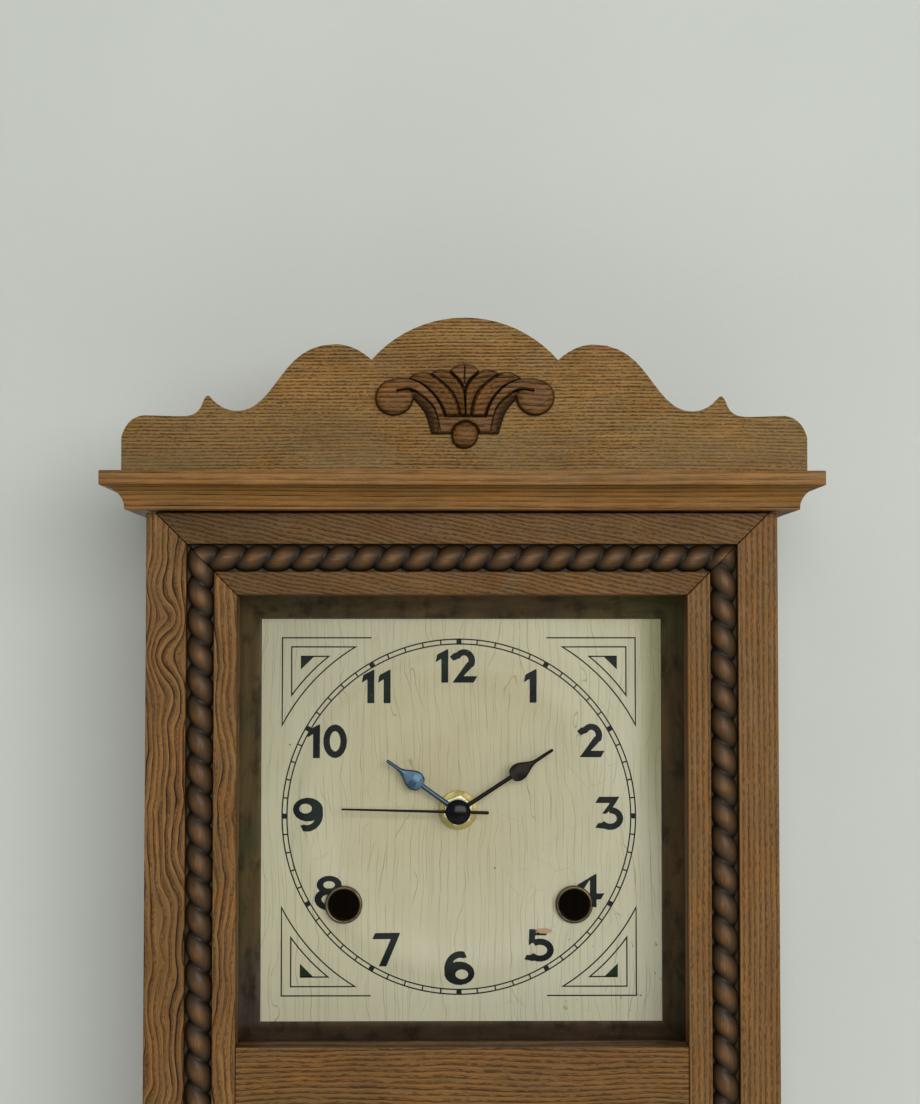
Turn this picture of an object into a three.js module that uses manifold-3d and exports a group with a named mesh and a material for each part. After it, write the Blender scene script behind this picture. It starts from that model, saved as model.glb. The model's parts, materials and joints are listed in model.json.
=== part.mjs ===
// A box-shaped pendulum wall clock: a wooden case with a hinged glazed door, a square
// embossed dial, a quartz pendulum movement and its gear train.
//
// Units are millimetres. X runs to the viewer's right, +Y runs into the wall, Z is up.
// The origin is the point that hangs on the wall's nail, on the plane of the case's back.
// "Depth" below always means the distance in front of the wall, so depth = -Y.

import * as THREE from 'three';
import * as BufferGeometryUtils from 'three/addons/utils/BufferGeometryUtils.js';
import Module from 'manifold-3d';

const wasm = await Module();
wasm.setup();

// ---------------------------------------------------------------- driving dimensions

const GAP = 0.3;                    // air left between pieces that meet
const BOARD = 12;                   // thickness of the case's boards

const CASE_HALF = 127;              // half the width of the case box
const CASE_TOP = 26;                // case top above the hanging point
const BACK_THICK = 8;               // thickness of the back board
const CASE_FRONT = 89.7;            // depth of the case's front edges

const DOOR_HALF = 130;              // half the width of the door
const DOOR_BACK = 90.3;             // depth of the door's back face
const DOOR_FRONT = 110;             // depth of the door's front face
const BAND_OUTER = 16.4;            // flat band outside the rope
const GROOVE = 11.5;                // groove that holds the rope
const BAND_INNER = 9.4;             // flat band inside the rope
const GROOVE_FLOOR = 105;           // depth of the groove's floor
const TOP_TRIM = 3.6;               // planed off the door's top edge, through its mitres
const SIGHT = 184.7;                // height of the upper glass opening
const MID_RAIL = 34;                // height of the rail between the two openings
const LOWER_SIGHT = 150;            // height of the pendulum window
const REBATE = 5;                   // width of the glass rebate
const REBATE_FRONT = 96.3;          // depth where the glass rebate ends
const GLASS = [93.4, 95.9];         // depths of the glass panes

const CORNICE_HEIGHT = 15.3;
const CORNICE_HALF = 146.9;         // half the width of the cornice at its top
const CORNICE_FRONT = 128;          // depth of the cornice's top fillet
const CORNICE_FILLET = 5.9;         // height of the flat fillet above the cove
const COVE = 9;                     // how far the cove steps back below the fillet
const DOOR_AIR = 0.8;               // air above and below the door

const BASE_HEIGHT = 20;             // base moulding below the door
const BASE_HALF = 143;
const BASE_FRONT = 125;

const CROWN_BACK = 100;             // depths of the crown board
const CROWN_FRONT = 111.5;
const CROWN_X = 1;                   // the crown sits a little to the right
const CROWN_RISE = 0.7;              // its scrolls' level above the case top
const CARVING_DEPTH = 5;            // how far the carving stands off the crown

const DIAL_HALF = 98;               // half the side of the square dial plate
const DIAL_BACK = 77.2;             // depths of the dial sheet
const DIAL_FACE = 78;
const RELIEF_INNER = 50;            // radius where the raised numeral band begins
const RELIEF_CREST = 64;            // radius of its crest
const RELIEF_OUTER = 74;            // radius where it has fallen flat again
const RELIEF_HEIGHT = 1.2;
const DIAL_X = -1.1;                // the dial sits a little up and left of the bezel's centre
const DIAL_RISE = 1.25;
const BEZEL_DROP = 2.4;             // bezel's centre below the opening's centre
const BEZEL_INNER = 85.1;           // half the side of the bezel's clear opening
const BEZEL_OUTER = 96.2;
const BEZEL_FRONT = 87.6;
const WINDING_X = 48.8;             // winding holes, from the dial's centre
const WINDING_Z = -37.1;

const HAND_X = -1.6;                // the hands' axis, across the clock
const HAND_RISE = 2.55;             // the hands' axis above the dial's centre
const PIVOT_DROP = 54;              // pendulum pivot below the hands' axis
const BOB_DROP = 202;               // pendulum bob below the hands' axis
const BOB_RADIUS = 26;
const PENDULUM_DEPTH = 66;          // depth of the plane the pendulum swings in
const HAND_BACKS = [84, 86.1, 88.2]; // depths of the hour, minute and second hands' backs
const HAND_POINT = 0.65;            // half the width of a hand's blunt point
const NUT_TURN = 20;                // how far the hex nut's corners are turned from level

// ---------------------------------------------------------------- derived heights

const corniceBottom = CASE_TOP - CORNICE_HEIGHT;
const doorTop = corniceBottom - DOOR_AIR;
const frameWidth = BAND_OUTER + GROOVE + BAND_INNER;
const sightTop = doorTop + TOP_TRIM - frameWidth;
const bezelZ = sightTop - SIGHT / 2 - BEZEL_DROP;
const dialZ = bezelZ + DIAL_RISE;
const handZ = dialZ + HAND_RISE;
const mitreTop = doorTop + TOP_TRIM;
const sightBottom = sightTop - SIGHT;
const lowerTop = sightBottom - MID_RAIL;
const lowerBottom = lowerTop - LOWER_SIGHT;
const doorBottom = lowerBottom - frameWidth;
const baseTop = doorBottom - DOOR_AIR;
const caseBottom = baseTop - BASE_HEIGHT;
const sightHalf = DOOR_HALF - frameWidth;
const pivotZ = handZ - PIVOT_DROP;
const bobZ = handZ - BOB_DROP;

// ---------------------------------------------------------------- materials

const WOOD = { color: 0x7a5a38, roughness: 0.6, metalness: 0 };
const DARK_WOOD = { color: 0x4a3220, roughness: 0.55, metalness: 0 };
const CROWN_WOOD = { color: 0x84693f, roughness: 0.65, metalness: 0 };
const CARVED_WOOD = { color: 0x50331f, roughness: 0.5, metalness: 0 };
const RAW_WOOD = { color: 0x9b7c55, roughness: 0.8, metalness: 0 };
const OLD_BRASS = { color: 0x4a4030, roughness: 0.45, metalness: 0.9 };
const BRASS = { color: 0xb89a58, roughness: 0.3, metalness: 1 };
const DIAL_PAINT = { color: 0xb9b496, roughness: 0.5, metalness: 0 };
const STEEL = { color: 0x8d9094, roughness: 0.35, metalness: 1 };
const BLACK_METAL = { color: 0x15161a, roughness: 0.4, metalness: 0.6 };
const BLACK_PLASTIC = { color: 0x1b1b1d, roughness: 0.5, metalness: 0 };
const WHITE_PLASTIC = { color: 0xdedcd2, roughness: 0.45, metalness: 0 };
const COPPER = { color: 0xa2542c, roughness: 0.4, metalness: 0.8 };
const BATTERY_SKIN = { color: 0x39506b, roughness: 0.4, metalness: 0.3 };
const GLASS_CLEAR = { color: 0xdfe8e4, roughness: 0.05, metalness: 0 };

// ---------------------------------------------------------------- shape helpers

/** A closed solid from a three.js geometry, ready for booleans. */
function solidOf(geometry) {
  const bare = geometry.index ? geometry.toNonIndexed() : geometry.clone();
  bare.deleteAttribute('normal');
  bare.deleteAttribute('uv');
  const merged = BufferGeometryUtils.mergeVertices(bare, 1e-4);
  return new wasm.Manifold(new wasm.Mesh({
    numProp: 3,
    vertProperties: new Float32Array(merged.attributes.position.array),
    triVerts: new Uint32Array(merged.index.array),
  }));
}

/** A three.js geometry from a solid. */
function geometryOf(solid) {
  const mesh = solid.getMesh();
  const geometry = new THREE.BufferGeometry();
  geometry.setAttribute('position', new THREE.BufferAttribute(mesh.vertProperties, 3));
  geometry.setIndex(new THREE.BufferAttribute(mesh.triVerts, 1));
  return geometry;
}

function joined(pieces) {
  return pieces.reduce((total, piece) => total.add(piece));
}

/** A block between two X, two depths and two Z. */
function block(x0, x1, d0, d1, z0, z1) {
  const geometry = new THREE.BoxGeometry(x1 - x0, d1 - d0, z1 - z0);
  geometry.translate((x0 + x1) / 2, -(d0 + d1) / 2, (z0 + z1) / 2);
  return solidOf(geometry);
}

/** A shape drawn in X and Z, extruded from depth d0 to depth d1. */
function plate(shape, d0, d1, curveSegments = 12) {
  const geometry = new THREE.ExtrudeGeometry(shape, {
    depth: d1 - d0, bevelEnabled: false, curveSegments,
  });
  geometry.rotateX(Math.PI / 2);
  geometry.translate(0, -d0, 0);
  return solidOf(geometry);
}

/** A round bar that points at the viewer, from depth d0 to depth d1. */
function roundBar(x, z, radius, d0, d1, segments = 24) {
  const geometry = new THREE.CylinderGeometry(radius, radius, d1 - d0, segments);
  geometry.translate(x, -(d0 + d1) / 2, z);
  return solidOf(geometry);
}

/** A round bar that stands upright. */
function uprightBar(x, depth, radius, z0, z1, segments = 16) {
  const geometry = new THREE.CylinderGeometry(radius, radius, z1 - z0, segments);
  geometry.rotateX(Math.PI / 2);
  geometry.translate(x, -depth, (z0 + z1) / 2);
  return solidOf(geometry);
}

/** A round bar along X. */
function crossBar(depth, z, radius, x0, x1, segments = 16) {
  const geometry = new THREE.CylinderGeometry(radius, radius, x1 - x0, segments);
  geometry.rotateZ(Math.PI / 2);
  geometry.translate((x0 + x1) / 2, -depth, z);
  return solidOf(geometry);
}

/** A body turned about an axis at (x, z) that points at the viewer; profile is [radius, depth]. */
function turned(profile, x, z, segments = 48) {
  const points = profile.map(([radius, depth]) => new THREE.Vector2(radius, -depth));
  if (profile[0][0] > 0) points.push(points[0].clone());
  if (THREE.ShapeUtils.area(points) < 0) points.reverse();
  const geometry = new THREE.LatheGeometry(points, segments);
  geometry.translate(x, 0, z);
  return solidOf(geometry);
}

function polygon(points) {
  return new THREE.Shape(points.map(([x, z]) => new THREE.Vector2(x, z)));
}

/** A closed section of [x, depth] points, extruded upright between two heights. */
function uprightSection(points, z0, z1) {
  const geometry = new THREE.ExtrudeGeometry(
    new THREE.Shape(points.map(([x, depth]) => new THREE.Vector2(x, -depth))),
    { depth: z1 - z0, bevelEnabled: false, curveSegments: 8 },
  );
  geometry.translate(0, 0, z0);
  return solidOf(geometry);
}

/** A closed section of [z, depth] points, extruded along X. */
function levelSection(points, x0, x1) {
  const geometry = new THREE.ExtrudeGeometry(
    new THREE.Shape(points.map(([z, depth]) => new THREE.Vector2(-depth, z))),
    { depth: x1 - x0, bevelEnabled: false, curveSegments: 8 },
  );
  // the section's own axes (x, y, z) become (y, z, x)
  geometry.applyMatrix4(new THREE.Matrix4().set(0, 0, 1, x0, 1, 0, 0, 0, 0, 1, 0, 0, 0, 0, 0, 1));
  return solidOf(geometry);
}

/** A closed section of [x, z] points, run back from depth d0 to depth d1. */
function deepSection(points, d0, d1) {
  return plate(polygon(points), d0, d1);
}

/** The upright prism above a plan of [x, depth] points, tall enough for the whole clock. */
function planPrism(points) {
  return uprightSection(points, caseBottom - 50, CASE_TOP + 100);
}

const clock = new THREE.Group();

/** Adds one named sub-part to the clock. */
function add(name, solid, material) {
  const mesh = new THREE.Mesh(geometryOf(solid), new THREE.MeshStandardMaterial(material));
  mesh.name = name;
  clock.add(mesh);
}

const SIDES = [['left', -1], ['right', 1]];

// ---------------------------------------------------------------- the case

const HANGER_SCREW_X = 15;
const HANGER_SCREW_Z = -4;

function caseBoards() {
  const back = block(-CASE_HALF, CASE_HALF, 0, BACK_THICK, caseBottom, CASE_TOP);
  const plateSeat = block(-21, 21, -1, 2, -17, 9);
  const nailRoom = block(-8, 8, -1, 6.5, -15, 6);
  const screwRoom = joined([-HANGER_SCREW_X, HANGER_SCREW_X].map(
    (x) => roundBar(x, HANGER_SCREW_Z, 1.9, -1, 7, 16),
  ));
  add('back_board', back.subtract(plateSeat).subtract(nailRoom).subtract(screwRoom), RAW_WOOD);

  const inner = BACK_THICK + GAP;
  for (const [name, side] of SIDES) {
    const x0 = side < 0 ? -CASE_HALF : CASE_HALF - BOARD;
    const low = caseBottom + BOARD + GAP;
    const high = CASE_TOP - BOARD - GAP;
    add(`case_side_${name}`, block(x0, x0 + BOARD, inner, CASE_FRONT, low, high), WOOD);
  }
  const across = (z0) => block(-CASE_HALF, CASE_HALF, inner, CASE_FRONT, z0, z0 + BOARD);
  add('top_board', across(CASE_TOP - BOARD), WOOD);
  add('bottom_board', across(caseBottom), WOOD);
}

/** The keyhole plate let into the back; its slot's top is the hanging point. */
function hangerPlate() {
  const sheet = block(-20.5, 20.5, 0, 1.6, -16.5, 8.5);
  const slot = block(-2.5, 2.5, -1, 3, -9, 0).add(roundBar(0, 0, 2.5, -1, 3, 24));
  const mouth = roundBar(0, -9, 5, -1, 3, 28);
  const screws = [-HANGER_SCREW_X, HANGER_SCREW_X].map(
    (x) => roundBar(x, HANGER_SCREW_Z, 2.2, -1, 3, 16),
  );
  add('hanger_plate', sheet.subtract(slot).subtract(mouth).subtract(joined(screws)), STEEL);
}

/** Points of a hollow quarter curve from [x0, z0], upright there, out to [x1, z1]. */
function hollow(x0, z0, x1, z1, steps = 7) {
  return Array.from({ length: steps + 1 }, (_, i) => {
    const angle = (i / steps) * Math.PI / 2;
    return [x0 + (x1 - x0) * (1 - Math.cos(angle)), z0 + (z1 - z0) * Math.sin(angle)];
  });
}

/**
 * A front moulding with two mitred returns. The section is [distance in from the outermost
 * face, Z]; its last distance is replaced by each piece's own inner face.
 */
function mitredMoulding(name, section, half, front) {
  const inner = CASE_HALF + GAP;
  const depthOfReturn = front - (half - inner);
  const close = (points, inside) => (
    [...points, [inside, points.at(-1)[1]], [inside, points[0][1]]]
  );

  const frontInner = front - (CASE_FRONT + GAP);
  const frontSection = close(section, frontInner).map(([into, z]) => [z, front - into]);
  const behind = CASE_FRONT - 10;
  const frontPlan = planPrism([
    [-half, front], [half, front], [inner, depthOfReturn],
    [inner, behind], [-inner, behind], [-inner, depthOfReturn],
  ]);
  add(`${name}_front`, levelSection(frontSection, -half, half).intersect(frontPlan), WOOD);

  for (const [side, sign] of SIDES) {
    const points = close(section, half - inner).map(([into, z]) => [sign * (half - into), z]);
    const plan = planPrism([
      [sign * inner, 0], [sign * half, 0],
      [sign * half, front - GAP], [sign * inner, depthOfReturn - GAP],
    ]);
    add(`${name}_return_${side}`, deepSection(points, 0, front).intersect(plan), WOOD);
  }
}

function cornice() {
  const coveTop = CASE_TOP - CORNICE_FILLET;
  const lip = corniceBottom + 0.8;
  const section = [
    [COVE, corniceBottom],
    ...hollow(COVE, lip, 0, coveTop),
    [0, CASE_TOP],
  ];
  mitredMoulding('cornice', section, CORNICE_HALF, CORNICE_FRONT);
}

function base() {
  const plinthTop = caseBottom + 9;
  const section = [
    [0, caseBottom],
    [0, plinthTop],
    ...hollow(9, baseTop - 2.5, 1.2, plinthTop, 6).reverse(),
    [9, baseTop],
  ];
  mitredMoulding('base', section, BASE_HALF, BASE_FRONT);
}

/** The scrolled crown board; its outline is half drawn, then mirrored. */
function crownShape() {
  const foot = CASE_TOP + GAP;
  const z0 = foot + CROWN_RISE;
  const arch = { half: 38.5, notch: 46, top: 63.6 };
  const rise = arch.top - arch.notch;
  const radius = (arch.half ** 2 + rise ** 2) / (2 * rise);
  const spread = Math.asin(arch.half / radius);
  const shape = new THREE.Shape();
  shape.moveTo(-141.3, foot);
  shape.lineTo(-141.3, z0 + 14);
  shape.quadraticCurveTo(-139, z0 + 22.4, -131.8, z0 + 23);
  shape.lineTo(-120, z0 + 22.6);
  shape.bezierCurveTo(-114, z0 + 22.4, -110.4, z0 + 22.6, -108.4, z0 + 27);
  shape.quadraticCurveTo(-106.4, z0 + 33, -104.6, z0 + 30.2);
  shape.bezierCurveTo(-100.6, z0 + 25.4, -93.5, z0 + 22.6, -86.6, z0 + 27);
  shape.bezierCurveTo(-75.6, z0 + 34.6, -73, z0 + 52.5, -53, z0 + 52.5);
  shape.quadraticCurveTo(-45.4, z0 + 52.3, -arch.half, z0 + arch.notch);
  const up = Math.PI / 2;
  shape.absarc(0, z0 + arch.top - radius, radius, up + spread, up - spread, true);
  shape.quadraticCurveTo(45.4, z0 + 52.3, 53, z0 + 52.5);
  shape.bezierCurveTo(73, z0 + 52.5, 75.6, z0 + 34.6, 86.6, z0 + 27);
  shape.bezierCurveTo(93.5, z0 + 22.6, 100.6, z0 + 25.4, 104.6, z0 + 30.2);
  shape.quadraticCurveTo(106.4, z0 + 33, 108.4, z0 + 27);
  shape.bezierCurveTo(110.4, z0 + 22.6, 114, z0 + 22.4, 120, z0 + 22.6);
  shape.lineTo(131.8, z0 + 23);
  shape.quadraticCurveTo(139, z0 + 22.4, 141.3, z0 + 14);
  shape.lineTo(141.3, foot);
  return shape;
}

/** One half of a carved rib: a band that bends from the carving's foot out to its rim. */
function carvedBand(sign, footX, bendX, rimX, rimZ, width) {
  const z0 = CASE_TOP + GAP;
  const shape = new THREE.Shape();
  const curve = (bx, bz, x, z) => shape.quadraticCurveTo(sign * bx, z0 + bz, sign * x, z0 + z);
  const footZ = 21.5;
  shape.moveTo(sign * (footX - width / 2), z0 + footZ);
  curve(bendX - width / 2, 33, rimX - width / 2, rimZ);
  curve(rimX + width / 3, rimZ + 1.5, rimX + width, rimZ - 3);
  curve(bendX + width / 1.6, 31, footX + width / 2, footZ);
  return shape;
}

function crown() {
  const board = plate(crownShape(), CROWN_BACK, CROWN_FRONT, 10);
  add('crown_board', board.translate([CROWN_X, 0, 0]), CROWN_WOOD);

  const z0 = CASE_TOP + GAP;
  const back = CROWN_FRONT + GAP;
  const front = back + CARVING_DEPTH;
  const foot = polygon([
    [-14, z0 + 15.6], [14, z0 + 15.6], [10.6, z0 + 23], [-10.6, z0 + 23],
  ]);
  const ball = [[0, back], [5.5, back], [5.4, back + 2.4], [3.9, front - 0.6], [0, front]];
  const lobe = new THREE.Shape();
  lobe.moveTo(0, z0 + 22);
  lobe.quadraticCurveTo(-2, z0 + 36, -6.4, z0 + 41.5);
  lobe.quadraticCurveTo(0, z0 + 47.4, 6.4, z0 + 41.5);
  lobe.quadraticCurveTo(2, z0 + 36, 0, z0 + 22);
  const pieces = [
    plate(foot, back, front - 1.4, 6),
    plate(lobe, back, front, 6),
    turned(ball, 0, z0 + 15, 16),
  ];
  for (const [, sign] of SIDES) {
    pieces.push(plate(carvedBand(sign, 3.6, 4.6, 10.6, 40.2, 3.6), back, front - 0.5, 4));
    pieces.push(plate(carvedBand(sign, 8, 10.4, 19.2, 38.2, 4.4), back, front - 1, 4));
    pieces.push(plate(carvedBand(sign, 11.2, 15.2, 24.6, 37.4, 4), back, front - 1.8, 4));
    const volute = [[0, back], [7.7, back], [7.5, back + 2], [5.4, front - 1.2], [0, front - 0.8]];
    pieces.push(turned(volute, sign * 29, z0 + 30.4, 16));
    const bridge = [[22, z0 + 34], [29, z0 + 34], [29, z0 + 37.6], [22, z0 + 37.6]];
    pieces.push(deepSection(bridge.map(([x, z]) => [sign * x, z]), back, front - 2));
  }
  add('crown_carving', joined(pieces).translate([CROWN_X, 0, 0]), CARVED_WOOD);
}

// ---------------------------------------------------------------- the door

const HINGE_X = -129;                // the hinges' pins, hidden behind the door's edge
const HINGE_DEPTH = 88.4;
const HINGE_HEIGHT = 38;
const HINGE_LEAF = 1;                // thickness of the leaf let into the door's edge
const HINGE_LEVELS = [['upper', doorTop - 60], ['lower', doorBottom + 60]];
const KNUCKLE = 1.6;

/** Section of the door's frame: [distance in from its mitred corner, depth]. */
function frameSection(trim = 0) {
  const ropeEnd = BAND_OUTER + GROOVE;
  return [
    [trim, DOOR_BACK], [trim, DOOR_FRONT],
    [BAND_OUTER, DOOR_FRONT], [BAND_OUTER, GROOVE_FLOOR],
    [ropeEnd, GROOVE_FLOOR], [ropeEnd, DOOR_FRONT],
    [frameWidth, DOOR_FRONT], [frameWidth, REBATE_FRONT],
    [frameWidth - REBATE, REBATE_FRONT], [frameWidth - REBATE, DOOR_BACK],
  ];
}

const MITRE_REACH = frameWidth + 8; // how far in from the door's edge a mitre is cut
const MITRE_AIR = 0.2;              // half the saw's gap along a mitre

/** The mitred outline that a stile or its rope fills, on one side of the door. */
function stileMitre(sign) {
  const outer = sign * (DOOR_HALF + 1);
  const inner = sign * (DOOR_HALF - MITRE_REACH);
  return plate(polygon([
    [outer, mitreTop + 1 - MITRE_AIR],
    [inner, mitreTop - MITRE_REACH - MITRE_AIR],
    [inner, doorBottom + MITRE_REACH + MITRE_AIR],
    [outer, doorBottom - 1 + MITRE_AIR],
  ]), DOOR_BACK - 1, DOOR_FRONT + 5);
}

/** The mitred outline that a rail or its rope fills; up is 1 for the top rail. */
function railMitre(up) {
  const edge = up > 0 ? mitreTop : doorBottom;
  const outer = DOOR_HALF + 1 - MITRE_AIR;
  const inner = DOOR_HALF - MITRE_REACH - MITRE_AIR;
  return plate(polygon([
    [-outer, edge + up], [outer, edge + up],
    [inner, edge - up * MITRE_REACH], [-inner, edge - up * MITRE_REACH],
  ]), DOOR_BACK - 1, DOOR_FRONT + 5);
}

/** The shallow pocket in the door's edge that a hinge's leaf is let into. */
function hingeRecess(z) {
  const reach = HINGE_HEIGHT / 2 + 0.2;
  const deep = -DOOR_HALF + 0.05 + HINGE_LEAF + 0.2;
  return block(-DOOR_HALF - 1, deep, DOOR_BACK - 1, 106.2, z - reach, z + reach);
}

function doorFrame() {
  for (const [side, sign] of SIDES) {
    const points = frameSection().map(([into, depth]) => [sign * (DOOR_HALF - into), depth]);
    let stile = uprightSection(points, doorBottom, doorTop).intersect(stileMitre(sign));
    if (sign < 0) {
      stile = HINGE_LEVELS.reduce((wood, [, z]) => wood.subtract(hingeRecess(z)), stile);
    }
    add(`door_stile_${side}`, stile, WOOD);
  }
  const rails = [['top', 1, mitreTop, TOP_TRIM], ['bottom', -1, doorBottom, 0]];
  for (const [name, up, edge, trim] of rails) {
    const points = frameSection(trim).map(([into, depth]) => [edge - up * into, depth]);
    const rail = levelSection(points, -DOOR_HALF, DOOR_HALF);
    add(`door_rail_${name}`, rail.intersect(railMitre(up)), WOOD);
  }
  const half = sightHalf - GAP;
  const middle = levelSection([
    [sightBottom, DOOR_FRONT - 0.5], [lowerTop, DOOR_FRONT - 0.5],
    [lowerTop, REBATE_FRONT], [lowerTop + REBATE, REBATE_FRONT],
    [lowerTop + REBATE, DOOR_BACK], [sightBottom - REBATE, DOOR_BACK],
    [sightBottom - REBATE, REBATE_FRONT], [sightBottom, REBATE_FRONT],
  ], -half, half);
  const lap = block(-half - REBATE, half + REBATE, DOOR_BACK, REBATE_FRONT - GAP,
    lowerTop + REBATE, sightBottom - REBATE);
  add('door_rail_middle', middle.add(lap), WOOD);
}

/**
 * A half-round bar worked as a rope, lying on the groove's floor. It runs upright at the given
 * place across the door, or along X when level is true.
 */
function ropeBar(across, from, to, pitch, level) {
  const radius = GROOVE / 2 - 0.5;
  const around = 3;
  const steps = Math.round((to - from) / pitch * 2.5);
  const cut = 0.16 * radius;
  const positions = [];
  const place = (s, side, proud) => {
    const depth = GROOVE_FLOOR + GAP + proud;
    positions.push(...(level ? [s, -depth, across + side] : [across + side, -depth, s]));
  };
  for (let i = 0; i <= steps; i += 1) {
    const s = from + (to - from) * i / steps;
    for (let k = 0; k <= around; k += 1) {
      const angle = Math.PI * k / around;
      const turn = 2 * Math.PI * s / pitch + angle;
      const r = radius - cut * (0.5 - 0.5 * Math.cos(turn));
      place(s, -r * Math.cos(angle), r * Math.sin(angle));
    }
  }
  const ring = around + 1;
  const index = [];
  for (let i = 0; i < steps; i += 1) {
    for (let k = 0; k < ring; k += 1) {
      const a = i * ring + k;
      const b = i * ring + (k + 1) % ring;
      index.push(a, b, a + ring, b, b + ring, a + ring);
    }
  }
  const last = steps * ring;
  for (let k = 1; k < ring - 1; k += 1) {
    index.push(0, k + 1, k, last, last + k, last + k + 1);
  }
  if (level) index.reverse();
  const geometry = new THREE.BufferGeometry();
  geometry.setAttribute('position', new THREE.Float32BufferAttribute(positions, 3));
  geometry.setIndex(index);
  return solidOf(geometry);
}

const UPRIGHT_PITCH = 12.1;         // length of one rope strand's turn, on the stiles
const LEVEL_PITCH = 11.4;           // and on the rails

function ropes() {
  const into = BAND_OUTER + GROOVE / 2;
  for (const [side, sign] of SIDES) {
    const rope = ropeBar(sign * (DOOR_HALF - into), doorBottom, doorTop, UPRIGHT_PITCH, false);
    add(`rope_${side}`, rope.intersect(stileMitre(sign)), DARK_WOOD);
  }
  for (const [name, up, edge] of [['top', 1, mitreTop], ['bottom', -1, doorBottom]]) {
    const rope = ropeBar(edge - up * into, -DOOR_HALF, DOOR_HALF, LEVEL_PITCH, true);
    add(`rope_${name}`, rope.intersect(railMitre(up)), DARK_WOOD);
  }
}

function glassPanes() {
  const half = sightHalf + REBATE - 0.4;
  const over = REBATE - 0.4;
  const pane = (low, high) => block(-half, half, GLASS[0], GLASS[1], low - over, high + over);
  add('glass_upper', pane(sightBottom, sightTop), GLASS_CLEAR);
  add('glass_lower', pane(lowerBottom, lowerTop), GLASS_CLEAR);
}

/** Two butt hinges: the case leaf carries the pin, the door leaf the middle knuckle. */
function hinges() {
  for (const [name, z] of HINGE_LEVELS) {
    const low = z - HINGE_HEIGHT / 2;
    const high = z + HINGE_HEIGHT / 2;
    const third = HINGE_HEIGHT / 3;
    const caseEdge = -CASE_HALF - 0.2;
    const caseLeaf = joined([
      block(caseEdge - 1.2, caseEdge, 70, 87.6, low, high),
      block(caseEdge - 1.2, caseEdge, 87, 88.8, low, low + third - GAP),
      block(caseEdge - 1.2, caseEdge, 87, 88.8, high - third + GAP, high),
      uprightBar(HINGE_X, HINGE_DEPTH, KNUCKLE, low, low + third - GAP, 20),
      uprightBar(HINGE_X, HINGE_DEPTH, KNUCKLE, high - third + GAP, high, 20),
      uprightBar(HINGE_X, HINGE_DEPTH, 0.7, low + 1, high - 1, 16),
    ]).subtract(block(-131, caseEdge, 86, 91, low + third - GAP, high - third + GAP).subtract(
      uprightBar(HINGE_X, HINGE_DEPTH, 0.7, low, high, 16),
    ));
    add(`hinge_case_${name}`, caseLeaf, OLD_BRASS);
    const doorEdge = -DOOR_HALF + 0.05;
    const doorLeaf = joined([
      block(doorEdge, doorEdge + HINGE_LEAF, 92.6, 106, low, high),
      block(doorEdge, doorEdge + HINGE_LEAF, 88.4, 93, low + third, high - third),
      uprightBar(HINGE_X, HINGE_DEPTH, KNUCKLE, low + third, high - third, 20),
    ]).subtract(uprightBar(HINGE_X, HINGE_DEPTH, 0.95, low - 1, high + 1, 16));
    add(`hinge_door_${name}`, doorLeaf, OLD_BRASS);
  }
}

const LATCH_DEPTH = 80;
const LATCH_REACH = 20;
const latchZ = lowerTop - 70;

/** The hook that hangs on the case's side and swings up over the stud on the door's edge. */
function latch() {
  const stem = crossBar(LATCH_DEPTH, latchZ, 1.6, CASE_HALF + 0.2, 133);
  const head = crossBar(LATCH_DEPTH, latchZ, 3.2, 132.3, 133.6, 20);
  const washer = crossBar(LATCH_DEPTH, latchZ, 3.4, CASE_HALF + 0.2, 130.3, 20);
  add('latch_post', joined([stem, head, washer]), OLD_BRASS);

  const studDepth = LATCH_DEPTH + LATCH_REACH;
  const stud = crossBar(studDepth, latchZ, 1.2, DOOR_HALF + 0.1, 133);
  add('latch_stud', stud.add(crossBar(studDepth, latchZ, 2.3, 132.3, 133.4, 20)), OLD_BRASS);

  const bar = block(130.6, 132, LATCH_DEPTH - 2.4, LATCH_DEPTH + 2.4, latchZ - 23, latchZ);
  const eye = crossBar(LATCH_DEPTH, latchZ, 4, 130.6, 132, 24);
  const beak = crossBar(LATCH_DEPTH - 0.6, latchZ - 22.6, 3, 130.6, 132, 20);
  const notchZ = latchZ - LATCH_REACH;
  const notch = crossBar(LATCH_DEPTH, notchZ, 1.7, 130, 133).add(
    block(130, 133, LATCH_DEPTH, LATCH_DEPTH + 6, notchZ - 1.7, notchZ + 1.7),
  );
  const bore = crossBar(LATCH_DEPTH, latchZ, 1.9, 130, 133);
  add('latch_hook', joined([bar, eye, beak]).subtract(notch).subtract(bore), OLD_BRASS);
}

// ---------------------------------------------------------------- the dial

/** How far the dial's face stands forward at a distance from its centre. */
function relief(radius) {
  const climbing = (radius - RELIEF_INNER) / (RELIEF_CREST - RELIEF_INNER);
  const falling = (RELIEF_OUTER - radius) / (RELIEF_OUTER - RELIEF_CREST);
  const share = Math.max(0, Math.min(climbing, falling));
  return RELIEF_HEIGHT * (0.5 - 0.5 * Math.cos(Math.PI * share));
}

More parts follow.
